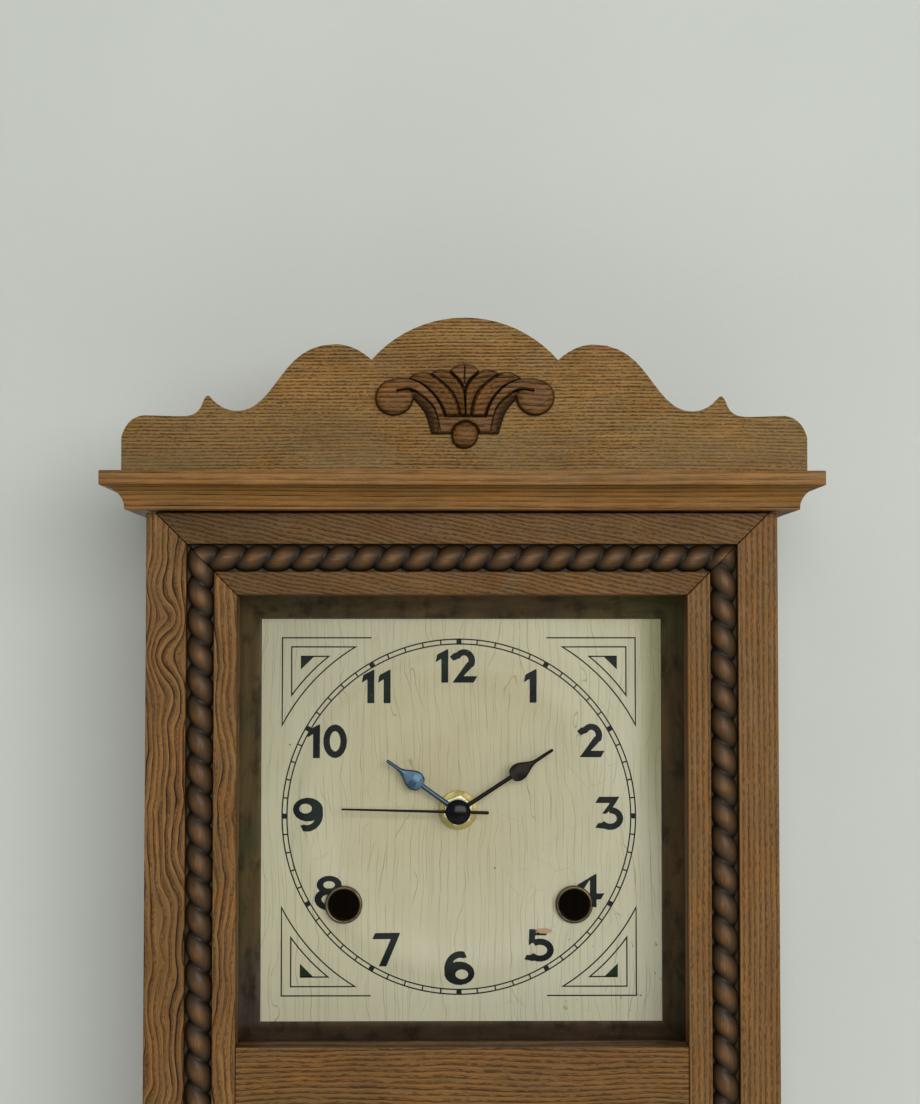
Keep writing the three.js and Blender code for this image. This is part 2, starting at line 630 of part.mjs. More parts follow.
function dial() {
  const square = block(DIAL_X - DIAL_HALF, DIAL_X + DIAL_HALF, DIAL_BACK, DIAL_FACE,
    dialZ - DIAL_HALF, dialZ + DIAL_HALF);
  const rim = RELIEF_OUTER + 1.5;
  const radii = [0];
  for (let i = 0; i <= 3; i += 1) radii.push(RELIEF_INNER + (RELIEF_CREST - RELIEF_INNER) * i / 3);
  for (let i = 1; i <= 2; i += 1) radii.push(RELIEF_CREST + (RELIEF_OUTER - RELIEF_CREST) * i / 2);
  radii.push(rim);
  const face = radii.map((r) => [r, DIAL_FACE + relief(r)]);
  const back = radii.map((r) => [r, DIAL_BACK + relief(r)]).reverse();
  const embossed = turned([...face, ...back], DIAL_X, dialZ, 48);
  const sheet = square.subtract(roundBar(DIAL_X, dialZ, rim - 0.7, 70, 90, 48)).add(embossed);
  const holes = [roundBar(HAND_X, handZ, 4.7, 70, 90, 20)];
  for (const [, sign] of SIDES) {
    holes.push(roundBar(DIAL_X + sign * WINDING_X, dialZ + WINDING_Z, 8.2, 70, 90, 20));
  }
  add('dial_plate', sheet.subtract(joined(holes)), DIAL_PAINT);

  for (const [side, sign] of SIDES) {
    const section = [[6.5, 76.4], [7.9, 76.4], [7.9, 81], [7.5, 81.6], [6.9, 81.6], [6.5, 81]];
    const collar = turned(section, DIAL_X + sign * WINDING_X, dialZ + WINDING_Z, 20);
    add(`winding_grommet_${side}`, collar, BRASS);
    const x = sign * 102;
    const batten = block(x - 12, x + 12, 62, DIAL_BACK - GAP, dialZ - 96, dialZ + 96);
    add(`dial_batten_${side}`, batten, RAW_WOOD);
  }
}

/** The square bezel: a bent sheet that slopes from its outer edge down to the dial. */
function bezel() {
  const back = DIAL_FACE + GAP;
  const profile = [
    [BEZEL_INNER, back], [BEZEL_INNER, back + 1], [BEZEL_OUTER - 1.2, BEZEL_FRONT],
    [BEZEL_OUTER, BEZEL_FRONT], [BEZEL_OUTER, back], [BEZEL_OUTER - 1, back],
    [BEZEL_OUTER - 1, BEZEL_FRONT - 1.5], [BEZEL_INNER + 0.9, back],
  ];
  const points = profile.map(([half, depth]) => new THREE.Vector2(half * Math.SQRT2, -depth));
  points.push(points[0].clone());
  if (THREE.ShapeUtils.area(points) < 0) points.reverse();
  const geometry = new THREE.LatheGeometry(points, 4, Math.PI / 4);
  geometry.translate(0, 0, bezelZ);
  add('dial_bezel', solidOf(geometry), OLD_BRASS);
}

// ---------------------------------------------------------------- the gear train

/** Where a wheel's axis stands: a distance from the hands' axis, at an angle from +X. */
function stand(distance, degrees, fromX = HAND_X, fromZ = handZ) {
  const angle = THREE.MathUtils.degToRad(degrees);
  return { x: fromX + distance * Math.cos(angle), z: fromZ + distance * Math.sin(angle) };
}

/** A toothed disc; a tooth points along the angle given by phase, in radians. */
function gear(at, teeth, module, phase, d0, d1) {
  const pitchRadius = teeth * module / 2;
  const tip = pitchRadius + 0.72 * module;
  const root = pitchRadius - 1.05 * module;
  const step = 2 * Math.PI / teeth;
  const points = [];
  for (let i = 0; i < teeth; i += 1) {
    for (const [radius, share] of [[root, -0.2], [tip, 0], [root, 0.2]]) {
      const angle = phase + (i + share) * step;
      points.push([at.x + radius * Math.cos(angle), at.z + radius * Math.sin(angle)]);
    }
  }
  return deepSection(points, d0, d1);
}

/** The phase that puts gear B's gap where gear A's tooth is, on the line between them. */
function meshPhase(a, teethA, phaseA, b, teethB) {
  const line = Math.atan2(b.z - a.z, b.x - a.x);
  const shareA = (line - phaseA) * teethA / (2 * Math.PI);
  return line + Math.PI - (0.5 - shareA) * 2 * Math.PI / teethB;
}

const SHELL_FRONT = 75.6;
const SHELL_WALL = 73.6;            // inner face of the movement's front wall
const COVER = [56.4, 58.1];         // depths of the movement's back cover
const PIVOT_ENDS = [57.1, 74.5];
const centre = stand(0, 0);
const thirdAt = stand(9.18, 60);
const betweenAt = stand(9.52, 150);
const rotorAt = stand(7.2, 150, betweenAt.x, betweenAt.z);
const motionAt = stand(10, 300);

function arbor(at, radius = 0.5, d0 = PIVOT_ENDS[0], d1 = PIVOT_ENDS[1]) {
  return roundBar(at.x, at.z, radius, d0, d1, 12);
}

function goingTrain() {
  const rotorPinion = gear(rotorAt, 6, 0.4, 0, 60.2, 61.9);
  const magnet = roundBar(rotorAt.x, rotorAt.z, 2.7, 64, 67.5, 20);
  add('rotor', joined([arbor(rotorAt), rotorPinion, magnet]), STEEL);

  const betweenPhase = meshPhase(rotorAt, 6, 0, betweenAt, 30);
  add('intermediate_wheel', joined([
    arbor(betweenAt),
    gear(betweenAt, 30, 0.4, betweenPhase, 60.6, 61.5),
    gear(betweenAt, 8, 0.34, 0, 61.5, 64.1),
  ]), WHITE_PLASTIC);

  const secondPhase = meshPhase(betweenAt, 8, 0, centre, 48);
  add('second_wheel', joined([
    arbor(centre, 0.5, PIVOT_ENDS[0], 89.2),
    gear(centre, 48, 0.34, secondPhase, 62.7, 63.6),
    gear(centre, 6, 0.36, 0, 63.6, 66.7),
  ]), WHITE_PLASTIC);

  const thirdPhase = meshPhase(centre, 6, 0, thirdAt, 45);
  add('third_wheel', joined([
    arbor(thirdAt),
    gear(thirdAt, 45, 0.36, thirdPhase, 65.2, 66.1),
    gear(thirdAt, 6, 0.34, 0, 66.1, 69.2),
  ]), WHITE_PLASTIC);
}

function motionWork() {
  const centrePhase = meshPhase(thirdAt, 6, 0, centre, 48);
  const bore = roundBar(centre.x, centre.z, 0.8, 60, 95, 16);
  add('centre_wheel', joined([
    gear(centre, 48, 0.34, centrePhase, 67.8, 68.7),
    gear(centre, 12, 10 / 24, 0, 68.7, 71),
    roundBar(centre.x, centre.z, 1.4, 67.2, 87, 20),
  ]).subtract(bore), WHITE_PLASTIC);

  const motionPhase = meshPhase(centre, 12, 0, motionAt, 36);
  add('minute_wheel', joined([
    arbor(motionAt, 0.6, 51.5, PIVOT_ENDS[1]),
    gear(motionAt, 36, 10 / 24, motionPhase, 69.8, 70.7),
    gear(motionAt, 10, 0.4, 0, 70.7, 73),
  ]), WHITE_PLASTIC);

  const hourPhase = meshPhase(motionAt, 10, 0, centre, 40);
  add('hour_wheel', joined([
    gear(centre, 40, 0.4, hourPhase, 71.6, 72.5),
    roundBar(centre.x, centre.z, 2.5, 71.6, 84.9, 24),
  ]).subtract(roundBar(centre.x, centre.z, 1.7, 60, 95, 20)), WHITE_PLASTIC);

  const knob = [[0.9, 53.4], [5, 53.4], [5, 55.2], [2, 55.6], [0.9, 55.6]];
  const flutes = Array.from({ length: 12 }, (_, i) => {
    const rim = stand(5.4, i * 30, motionAt.x, motionAt.z);
    return roundBar(rim.x, rim.z, 0.8, 50, 58, 8);
  });
  add('set_knob', turned(knob, motionAt.x, motionAt.z, 24).subtract(joined(flutes)), BLACK_PLASTIC);
}

/** A hand drawn along its own length, turned clockwise from twelve, with its round hub. */
function hand(points, degrees, hubRadius, boreRadius, d0, d1) {
  const angle = THREE.MathUtils.degToRad(degrees);
  const outline = new THREE.Shape();
  points.forEach(([out, half], i) => (i ? outline.lineTo(half, out) : outline.moveTo(half, out)));
  [...points].reverse().forEach(([out, half]) => outline.lineTo(-half, out));
  const geometry = new THREE.ExtrudeGeometry(outline, { depth: d1 - d0, bevelEnabled: false });
  geometry.rotateX(Math.PI / 2);
  geometry.translate(0, -d0, 0);
  geometry.rotateY(angle);
  geometry.translate(HAND_X, 0, handZ);
  const blade = solidOf(geometry).add(roundBar(HAND_X, handZ, hubRadius, d0, d1, 28));
  return boreRadius ? blade.subtract(roundBar(HAND_X, handZ, boreRadius, d0 - 1, d1 + 1, 20)) : blade;
}

/** Half widths along a spade hand: shaft, round shoulders, hollow flanks and a blunt point. */
function spadeOutline({ reach, leafStart, leafWidest, neck, leafHalf, shaftHalf }) {
  const shoulderSteps = 4;
  const flankSteps = 6;
  const points = [[0, shaftHalf], [leafStart, shaftHalf]];
  for (let i = 1; i <= shoulderSteps; i += 1) {
    const angle = (i / shoulderSteps) * Math.PI / 2;
    points.push([
      leafWidest - (leafWidest - leafStart) * Math.cos(angle),
      shaftHalf + (leafHalf - shaftHalf) * Math.sin(angle),
    ]);
  }
  for (let i = 1; i <= flankSteps; i += 1) {
    const share = i / flankSteps;
    const fullness = 0.5 + 0.5 * Math.cos(Math.PI * share);
    points.push([
      leafWidest + (neck - leafWidest) * share,
      HAND_POINT + (leafHalf - HAND_POINT) * fullness,
    ]);
  }
  points.push([reach - HAND_POINT, HAND_POINT], [reach, HAND_POINT / 2]);
  return points;
}

function hands() {
  const hourOutline = spadeOutline(
    { reach: 36.9, leafStart: 18.6, leafWidest: 22.7, neck: 31.2, leafHalf: 4.1, shaftHalf: 1 },
  );
  const minuteOutline = spadeOutline(
    { reach: 47.9, leafStart: 26.8, leafWidest: 30.9, neck: 39.5, leafHalf: 3.7, shaftHalf: 0.9 },
  );
  const needleOutline = [[-13, 0.7], [0, 0.6], [49, 0.4]];
  const [hourBack, minuteBack, secondBack] = HAND_BACKS;
  add('hour_hand', hand(hourOutline, 305.4, 4.6, 2.8, hourBack, hourBack + 0.7), BLACK_METAL);
  add('minute_hand', hand(minuteOutline, 57, 4, 1.7, minuteBack, minuteBack + 0.7), BLACK_METAL);

  const front = secondBack + 0.5;
  const needle = hand(needleOutline, 271.4, 3, 0, secondBack, front);
  const dome = [[0, front], [5.3, front], [5.1, front + 0.8], [3.6, front + 1.7], [0, front + 2.2]];
  const cap = turned(dome, HAND_X, handZ, 20);
  const pipe = roundBar(HAND_X, handZ, 1.1, secondBack - 0.9, secondBack + 0.2, 16);
  const socket = roundBar(HAND_X, handZ, 0.8, 80, secondBack + 1.4, 16);
  add('second_hand', joined([needle, cap, pipe]).subtract(socket), BLACK_METAL);
}

// ---------------------------------------------------------------- the movement

const SHELL = { half: 30, top: 26, bottom: -78, wall: 1.6 };
const BATTERY_RIBS = [-29.4, -47.6]; // ribs above and below the battery, from the hands' axis
const BATTERY_DROP = 38;            // the battery's axis below the hands' axis

function movementShells() {
  const { half, wall } = SHELL;
  const left = HAND_X - half;
  const right = HAND_X + half;
  const top = handZ + SHELL.top;
  const bottom = handZ + SHELL.bottom;
  const outer = block(left, right, COVER[1] + GAP, SHELL_FRONT, bottom, top);
  const room = block(left + wall, right - wall, 50, SHELL_WALL, bottom + wall, top - wall);
  const pendulumSlot = block(HAND_X - 9, HAND_X + 9, 50, SHELL_WALL, bottom - 1, bottom + wall + 1);
  const ribs = BATTERY_RIBS.map((z) => (
    block(left + 1, right - 1, 61, SHELL_WALL + 0.5, handZ + z, handZ + z + 1.2)
  ));
  const bushing = roundBar(HAND_X, handZ, 4, SHELL_FRONT - 1, 82.7, 32);
  const pin = roundBar(HAND_X, pivotZ, 1.2, 61, SHELL_WALL + 0.5, 16);
  const seats = [thirdAt, betweenAt, rotorAt, motionAt].map(
    (at) => roundBar(at.x, at.z, 0.9, 70, 74.8, 12),
  );
  const handBore = roundBar(HAND_X, handZ, 2.8, 70, 90, 24);
  const shell = joined([outer.subtract(room).subtract(pendulumSlot), ...ribs, bushing, pin]);
  add('movement_front_shell', shell.subtract(joined(seats)).subtract(handBore), BLACK_PLASTIC);

  const cover = block(left, right, COVER[0], COVER[1], bottom, top);
  const batteryDoor = block(HAND_X - 27, HAND_X + 27, 50, 60, handZ - 46.4, handZ - 29);
  const coverSeats = [centre, thirdAt, betweenAt, rotorAt].map(
    (at) => roundBar(at.x, at.z, 0.8, 56.9, 60, 12),
  );
  const knobHole = roundBar(motionAt.x, motionAt.z, 1.2, 50, 60, 16);
  add('movement_back_cover', cover.subtract(joined([batteryDoor, knobHole, ...coverSeats])), BLACK_PLASTIC);
}

function movementParts() {
  const stator = block(HAND_X - 25.4, HAND_X - 10.6, 64.3, 65.1, handZ - 11, handZ + 14);
  const window = block(HAND_X - 23.2, HAND_X - 18.6, 60, 70, handZ - 9, handZ + 10);
  const rotorHole = roundBar(rotorAt.x, rotorAt.z, 3.2, 60, 70, 24);
  add('stator', stator.subtract(window).subtract(rotorHole), STEEL);
  const winding = block(HAND_X - 28, HAND_X - 20.6, 61, 69, handZ - 8, handZ + 8);
  const coreRoom = block(HAND_X - 25.7, HAND_X - 22.9, 64, 65.4, handZ - 9, handZ + 9);
  add('drive_coil', winding.subtract(coreRoom), COPPER);
  const cellZ = handZ - BATTERY_DROP;
  const cell = crossBar(65.5, cellZ, 7.1, HAND_X - 25.5, HAND_X + 24.6, 24).add(
    crossBar(65.5, cellZ, 2.7, HAND_X + 24, HAND_X + 26.4),
  );
  add('battery', cell, BATTERY_SKIN);

  const washer = [[4.3, DIAL_FACE + 0.2], [8.3, DIAL_FACE + 0.2], [8.3, 79], [4.3, 79]];
  add('dial_washer', turned(washer, HAND_X, handZ, 24), BRASS);
  const nut = plate(polygon(Array.from({ length: 6 }, (_, i) => {
    const corner = stand(6.7, 60 * i + NUT_TURN);
    return [corner.x, corner.z];
  })), 79.3, 81.9);
  add('hex_nut', nut.subtract(roundBar(HAND_X, handZ, 4.3, 70, 90, 32)), BRASS);
}

// ---------------------------------------------------------------- the pendulum

function pendulum() {
  const depth = PENDULUM_DEPTH;
  const hookZ = pivotZ - 32;
  const hub = roundBar(HAND_X, pivotZ, 3.2, depth - 1.6, depth + 1.6, 24);
  const arm = block(HAND_X - 1.7, HAND_X + 1.7, depth - 1, depth + 1, hookZ - 5, pivotZ);
  const slot = block(HAND_X - 1.1, HAND_X + 1.1, depth - 3, depth + 3, hookZ - 1, hookZ + 1.4);
  const bore = roundBar(HAND_X, pivotZ, 1.5, depth - 4, depth + 4, 16);
  add('pendulum_hanger', hub.add(arm).subtract(bore).subtract(slot), BRASS);

  const rodBack = depth + 1.3;
  const strip = block(HAND_X - 1.6, HAND_X + 1.6, rodBack, rodBack + 1, bobZ - 24, hookZ + 4);
  const hook = block(
    HAND_X - 0.8, HAND_X + 0.8, depth - 1.8, rodBack + 0.5, hookZ - 0.7, hookZ + 0.7,
  );
  const rodAxis = rodBack + 0.5;
  const thread = uprightBar(HAND_X, rodAxis, 0.7, bobZ - 42, bobZ - 23);
  add('pendulum_rod', joined([strip, hook, thread]), BRASS);

  const face = rodBack + 1.3;
  const lens = [
    [0, face], [BOB_RADIUS, face], [BOB_RADIUS, face + 1.2], [BOB_RADIUS - 2.4, face + 2.4],
    [BOB_RADIUS - 9, face + 4.3], [BOB_RADIUS - 17, face + 5.4], [0, face + 5.9],
  ];
  const loops = [-16, 12].map((z) => (
    block(HAND_X - 3.6, HAND_X + 3.6, rodBack - 1.3, face + 0.1, bobZ + z, bobZ + z + 4)
  ));
  const channel = block(HAND_X - 2, HAND_X + 2, rodBack - 0.3, face, bobZ - 30, bobZ + 30);
  const bob = turned(lens, HAND_X, bobZ, 32).add(joined(loops).subtract(channel));
  add('pendulum_bob', bob, BRASS);

  const nutTop = bobZ - BOB_RADIUS - GAP;
  const nut = uprightBar(HAND_X, rodAxis, 4.2, nutTop - 4, nutTop, 20);
  const tapped = uprightBar(HAND_X, rodAxis, 1.05, nutTop - 5, nutTop + 1);
  add('rating_nut', nut.subtract(tapped), BRASS);
}

caseBoards();
hangerPlate();
cornice();
base();
crown();
doorFrame();
ropes();
glassPanes();
hinges();
latch();
dial();
bezel();
movementShells();
movementParts();
goingTrain();
motionWork();
hands();
pendulum();

export default clock;
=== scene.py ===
"""The looks of a box-shaped pendulum wall clock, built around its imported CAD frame.

Meshes are described in millimetres as (x, depth, z), where depth is the distance in front of
the wall, and put() turns them into metres in the shared frame.
"""

import json
import math

import bmesh
import bpy
import numpy as np
from mathutils import Matrix, Vector


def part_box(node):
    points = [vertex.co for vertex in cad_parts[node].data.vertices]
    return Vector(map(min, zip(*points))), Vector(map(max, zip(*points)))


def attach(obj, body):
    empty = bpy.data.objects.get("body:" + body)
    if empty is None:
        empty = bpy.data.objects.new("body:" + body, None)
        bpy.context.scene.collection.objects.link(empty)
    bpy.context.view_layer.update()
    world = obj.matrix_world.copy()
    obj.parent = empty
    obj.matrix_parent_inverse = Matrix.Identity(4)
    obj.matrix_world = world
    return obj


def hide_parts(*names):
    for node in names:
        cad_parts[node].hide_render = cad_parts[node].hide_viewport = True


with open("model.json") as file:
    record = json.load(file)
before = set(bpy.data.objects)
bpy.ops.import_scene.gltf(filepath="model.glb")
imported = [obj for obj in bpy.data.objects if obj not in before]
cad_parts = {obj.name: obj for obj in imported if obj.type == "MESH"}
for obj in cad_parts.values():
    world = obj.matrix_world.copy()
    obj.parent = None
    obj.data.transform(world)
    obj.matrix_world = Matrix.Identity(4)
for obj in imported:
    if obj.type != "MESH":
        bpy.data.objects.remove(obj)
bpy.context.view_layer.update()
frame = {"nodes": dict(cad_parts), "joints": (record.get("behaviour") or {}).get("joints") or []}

MM = 0.001

# ---------------- places from the frame


class Place:
    """A CAD node's box in millimetres: x0..x1, back..front in depth, z0..z1."""

    def __init__(self, node):
        low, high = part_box(node)
        self.x0, self.x1 = low.x / MM, high.x / MM
        self.back, self.front = -high.y / MM, -low.y / MM
        self.z0, self.z1 = low.z / MM, high.z / MM
        self.x = (self.x0 + self.x1) / 2
        self.z = (self.z0 + self.z1) / 2


def joint_point(name):
    """Where a joint's axis is, as (x, depth, z) in millimetres."""
    x, y, z = next(j for j in frame["joints"] if j["name"] == name)["pos_m"]
    return x / MM, -y / MM, z / MM


DIAL = Place("dial_plate")
BEZEL = Place("dial_bezel")
CROWN = Place("crown_board")
CARVING = Place("crown_carving")
TOP_RAIL = Place("door_rail_top")
BOTTOM_RAIL = Place("door_rail_bottom")
RIGHT_STILE = Place("door_stile_right")
TOP_BOARD = Place("top_board")
BOTTOM_BOARD = Place("bottom_board")
HAND_X, _, HAND_Z = joint_point("second_spin")

# the door's moulding, from its outer edge inwards
BAND_OUTER = 16.4
GROOVE = 11.5
BAND_INNER = 9.4
GROOVE_FLOOR = 105.0
FRAME_WIDTH = BAND_OUTER + GROOVE + BAND_INNER
DOOR_HALF = RIGHT_STILE.x1
MITRE_TOP = TOP_RAIL.z0 + FRAME_WIDTH
MITRE_BOTTOM = BOTTOM_RAIL.z0
MITRE_AIR = 0.2
REBATE = 5.0

# the dial's embossing and printing
DIAL_FACE = 78.0
RELIEF_INNER, RELIEF_CREST, RELIEF_OUTER = 50.0, 64.0, 74.0
RELIEF_HEIGHT = 1.2
PRINT_SCALE = 0.99
WINDING = (48.8, -37.1)
CENTRE_HOLE, WINDING_HOLE = 4.7, 7.6
BEZEL_INNER = 85.1

# ---------------- meshes


def add_object(name, data):
    """A new object in the scene."""
    obj = bpy.data.objects.new(name, data)
    bpy.context.scene.collection.objects.link(obj)
    return obj


def new_mesh(name, points, faces):
    """A mesh of (x, depth, z) points in millimetres."""
    mesh = bpy.data.meshes.new(name)
    mesh.from_pydata([(x * MM, -d * MM, z * MM) for x, d, z in points], [], faces)
    return mesh


def face_out(mesh, merge=False):
    """Turns a closed mesh's faces outwards; merge first joins points that coincide."""
    work = bmesh.new()
    work.from_mesh(mesh)
    if merge:
        bmesh.ops.remove_doubles(work, verts=work.verts, dist=1e-7)
    bmesh.ops.recalc_face_normals(work, faces=work.faces)
    work.to_mesh(mesh)
    work.free()


def layer(mesh, name, values):
    """Stores a number for each point of a mesh, for its material to read."""
    mesh.attributes.new(name, "FLOAT", "POINT").data.foreach_set("value", values)


def cover(mesh, material):
    """Smooth shading and one material."""
    mesh.polygons.foreach_set("use_smooth", [True] * len(mesh.polygons))
    mesh.materials.clear()
    mesh.materials.append(material)


def put(name, points, faces, body, finish, slot, replaces=(), sharp=35, merge=True, holes=()):
    """Adds a closed mesh in millimetres, less some (points, faces), riding on a CAD body."""
    mesh = new_mesh(name, points, faces)
    face_out(mesh, merge)
    obj = add_object(name, mesh)
    for hole in holes:
        bore(obj, *hole)
    return settle(obj, body, finish, replaces, sharp)


def settle(obj, body, finish, replaces=(), sharp=35):
    """Gives a new object its shading, material and place in the clock."""
    cover(obj.data, MAT[finish])
    obj.data.set_sharp_from_angle(angle=math.radians(sharp))
    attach(obj, body)
    if replaces:
        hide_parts(*replaces)
    return obj


def bore(obj, points, faces):
    """Cuts a closed mesh, given in millimetres, out of obj."""
    mesh = new_mesh("cutter", points, faces)
    face_out(mesh)
    cut = obj.modifiers.new("cut", "BOOLEAN")
    cut.object = add_object("cutter", mesh)
    cut.operation = "DIFFERENCE"
    cut.solver = "EXACT"
    graph = bpy.context.evaluated_depsgraph_get()
    result = bpy.data.meshes.new_from_object(obj.evaluated_get(graph))
    bpy.data.objects.remove(cut.object)
    obj.modifiers.clear()
    obj.data = result


def soften(obj, width, segments, material):
    """Rounds a CAD node's edges by modifiers and gives it its material."""
    mesh = obj.data
    for attribute in ("custom_normal", "sharp_edge", "sharp_face"):
        if attribute in mesh.attributes:
            mesh.attributes.remove(mesh.attributes[attribute])
    cover(mesh, material)
    weld = obj.modifiers.new("weld", "WELD")
    weld.merge_threshold = 1e-6
    bevel = obj.modifiers.new("bevel", "BEVEL")
    bevel.width = width * MM
    bevel.segments = segments
    bevel.limit_method = "ANGLE"
    bevel.angle_limit = math.radians(32)
    bevel.harden_normals = True
    obj.modifiers.new("normals", "WEIGHTED_NORMAL").keep_sharp = True


def unlit(obj):
    """Keeps an object out of shadows, bounced light and reflections."""
    obj.visible_shadow = False
    obj.visible_diffuse = False
    obj.visible_glossy = False


def grid_faces(rows, columns):
    """Quads over a grid of points stored row by row."""
    return [
        (r * columns + c, r * columns + c + 1, (r + 1) * columns + c + 1, (r + 1) * columns + c)
        for r in range(rows - 1) for c in range(columns - 1)
    ]


def tube_faces(rows, columns):
    """Quads over a grid of points, its seam from last column to first, and its two ends."""
    faces = grid_faces(rows, columns)
    faces += [
        (r * columns + columns - 1, r * columns, (r + 1) * columns, (r + 2) * columns - 1)
        for r in range(rows - 1)
    ]
    return faces + [tuple(range(columns)), tuple(range((rows - 1) * columns, rows * columns))]


def lathe_mesh(profile, steps=72):
    """Points and faces of (radius, height) turned about the third axis."""
    points, rings, faces = [], [], []
    for radius, height in profile:
        if radius < 1e-6:
            rings.append([len(points)])
            points.append((0, 0, height))
            continue
        rings.append(list(range(len(points), len(points) + steps)))
        for i in range(steps):
            angle = 2 * math.pi * i / steps
            points.append((radius * math.cos(angle), radius * math.sin(angle), height))
    for low, high in zip(rings, rings[1:]):
        for i in range(steps):
            j = (i + 1) % steps
            if len(low) == 1 and len(high) == 1:
                continue
            if len(low) == 1:
                faces.append((low[0], high[i], high[j]))
            elif len(high) == 1:
                faces.append((low[i], low[j], high[0]))
            else:
                faces.append((low[i], low[j], high[j], high[i]))
    return points, faces


def turned(profile, x, z, steps=72):
    """Points and faces of (radius, depth) turned about an axis towards the viewer."""
    points, faces = lathe_mesh(profile, steps)
    return [(x + px, depth, z + pz) for px, pz, depth in points], faces


def lathe(name, profile, x, z, body, finish, slot, replaces=(), steps=72):
    """Adds a body turned about an axis towards the viewer; profile is (radius, depth)."""
    put(name, *turned(profile, x, z, steps), body, finish, slot, replaces, 30)


def ring_profile(inner, outer, back, front, round_over=0.2):
    """The closed section of a flat ring with rounded front corners."""
    r = round_over
    return [
        (inner, back), (inner, front - r), (inner + r * 0.3, front - r * 0.3), (inner + r, front),
        (outer - r, front), (outer - r * 0.3, front - r * 0.3), (outer, front - r), (outer, back),
        (inner, back),
    ]


def relief(x, z):
    """How far the dial's face stands forward at a point, measured from the dial's centre."""
    radius = math.hypot(x, z)
    climbing = (radius - RELIEF_INNER) / (RELIEF_CREST - RELIEF_INNER)
    falling = (RELIEF_OUTER - radius) / (RELIEF_OUTER - RELIEF_CREST)
    share = max(0.0, min(climbing, falling, 1.0))
    return RELIEF_HEIGHT * (0.5 - 0.5 * math.cos(math.pi * share))


def thick_sheet(flat_points, faces, depth_at, thickness):
    """Points and faces of a closed sheet over flat (x, z) points; depth_at gives its face."""
    count = len(flat_points)
    front = [(x, depth_at(x, z), z) for x, z in flat_points]
    back = [(x, d - thickness, z) for x, d, z in front]
    used = {}
    for face in faces:
        for a, b in zip(face, face[1:] + face[:1]):
            used[(a, b)] = used.get((a, b), 0) + 1
    walls = [
        (b, a, a + count, b + count) for a, b in used if (b, a) not in used
    ]
    under = [tuple(i + count for i in reversed(face)) for face in faces]
    return front + back, list(faces) + under + walls


# ---------------- materials


def srgb(r, g, b):
    """A linear colour from 8-bit display values."""
    def linear(v):
        v /= 255
        return v / 12.92 if v <= 0.04045 else ((v + 0.055) / 1.055) ** 2.4
    return (linear(r), linear(g), linear(b), 1.0)


class Value:
    """A node's output, which adds, subtracts and multiplies as a number does."""

    def __init__(self, paint, node, output=0):
        self.paint = paint
        self.socket = node.outputs[output]

    def __add__(self, other):
        return self.paint.math("ADD", self, other)

    def __sub__(self, other):
        return self.paint.math("SUBTRACT", self, other)

    def __rsub__(self, other):
        return self.paint.math("SUBTRACT", other, self)

    def __mul__(self, other):
        return self.paint.math("MULTIPLY", self, other)

    def __abs__(self):
        return self.paint.math("ABSOLUTE", self)

    def most(self, other):
        """The larger of two values."""
        return self.paint.math("MAXIMUM", self, other)

    def step(self, low, high, out_low=0.0, out_high=1.0):
        """A smooth step from out_low to out_high as the value goes from low to high."""
        node = self.paint.node("ShaderNodeMapRange", {
            "Value": self, "From Min": low, "From Max": high, "To Min": out_low, "To Max": out_high,
        }, interpolation_type="SMOOTHSTEP")
        return Value(self.paint, node)

    def toward(self, colour, share):
        """This colour, turned into another by a share."""
        return self.paint.mix(share, self, colour)

    def shade(self, factor):
        """This colour multiplied by a grey factor."""
        return self.paint.mix(1.0, self, self.paint.vector(factor, factor, factor), "MULTIPLY")


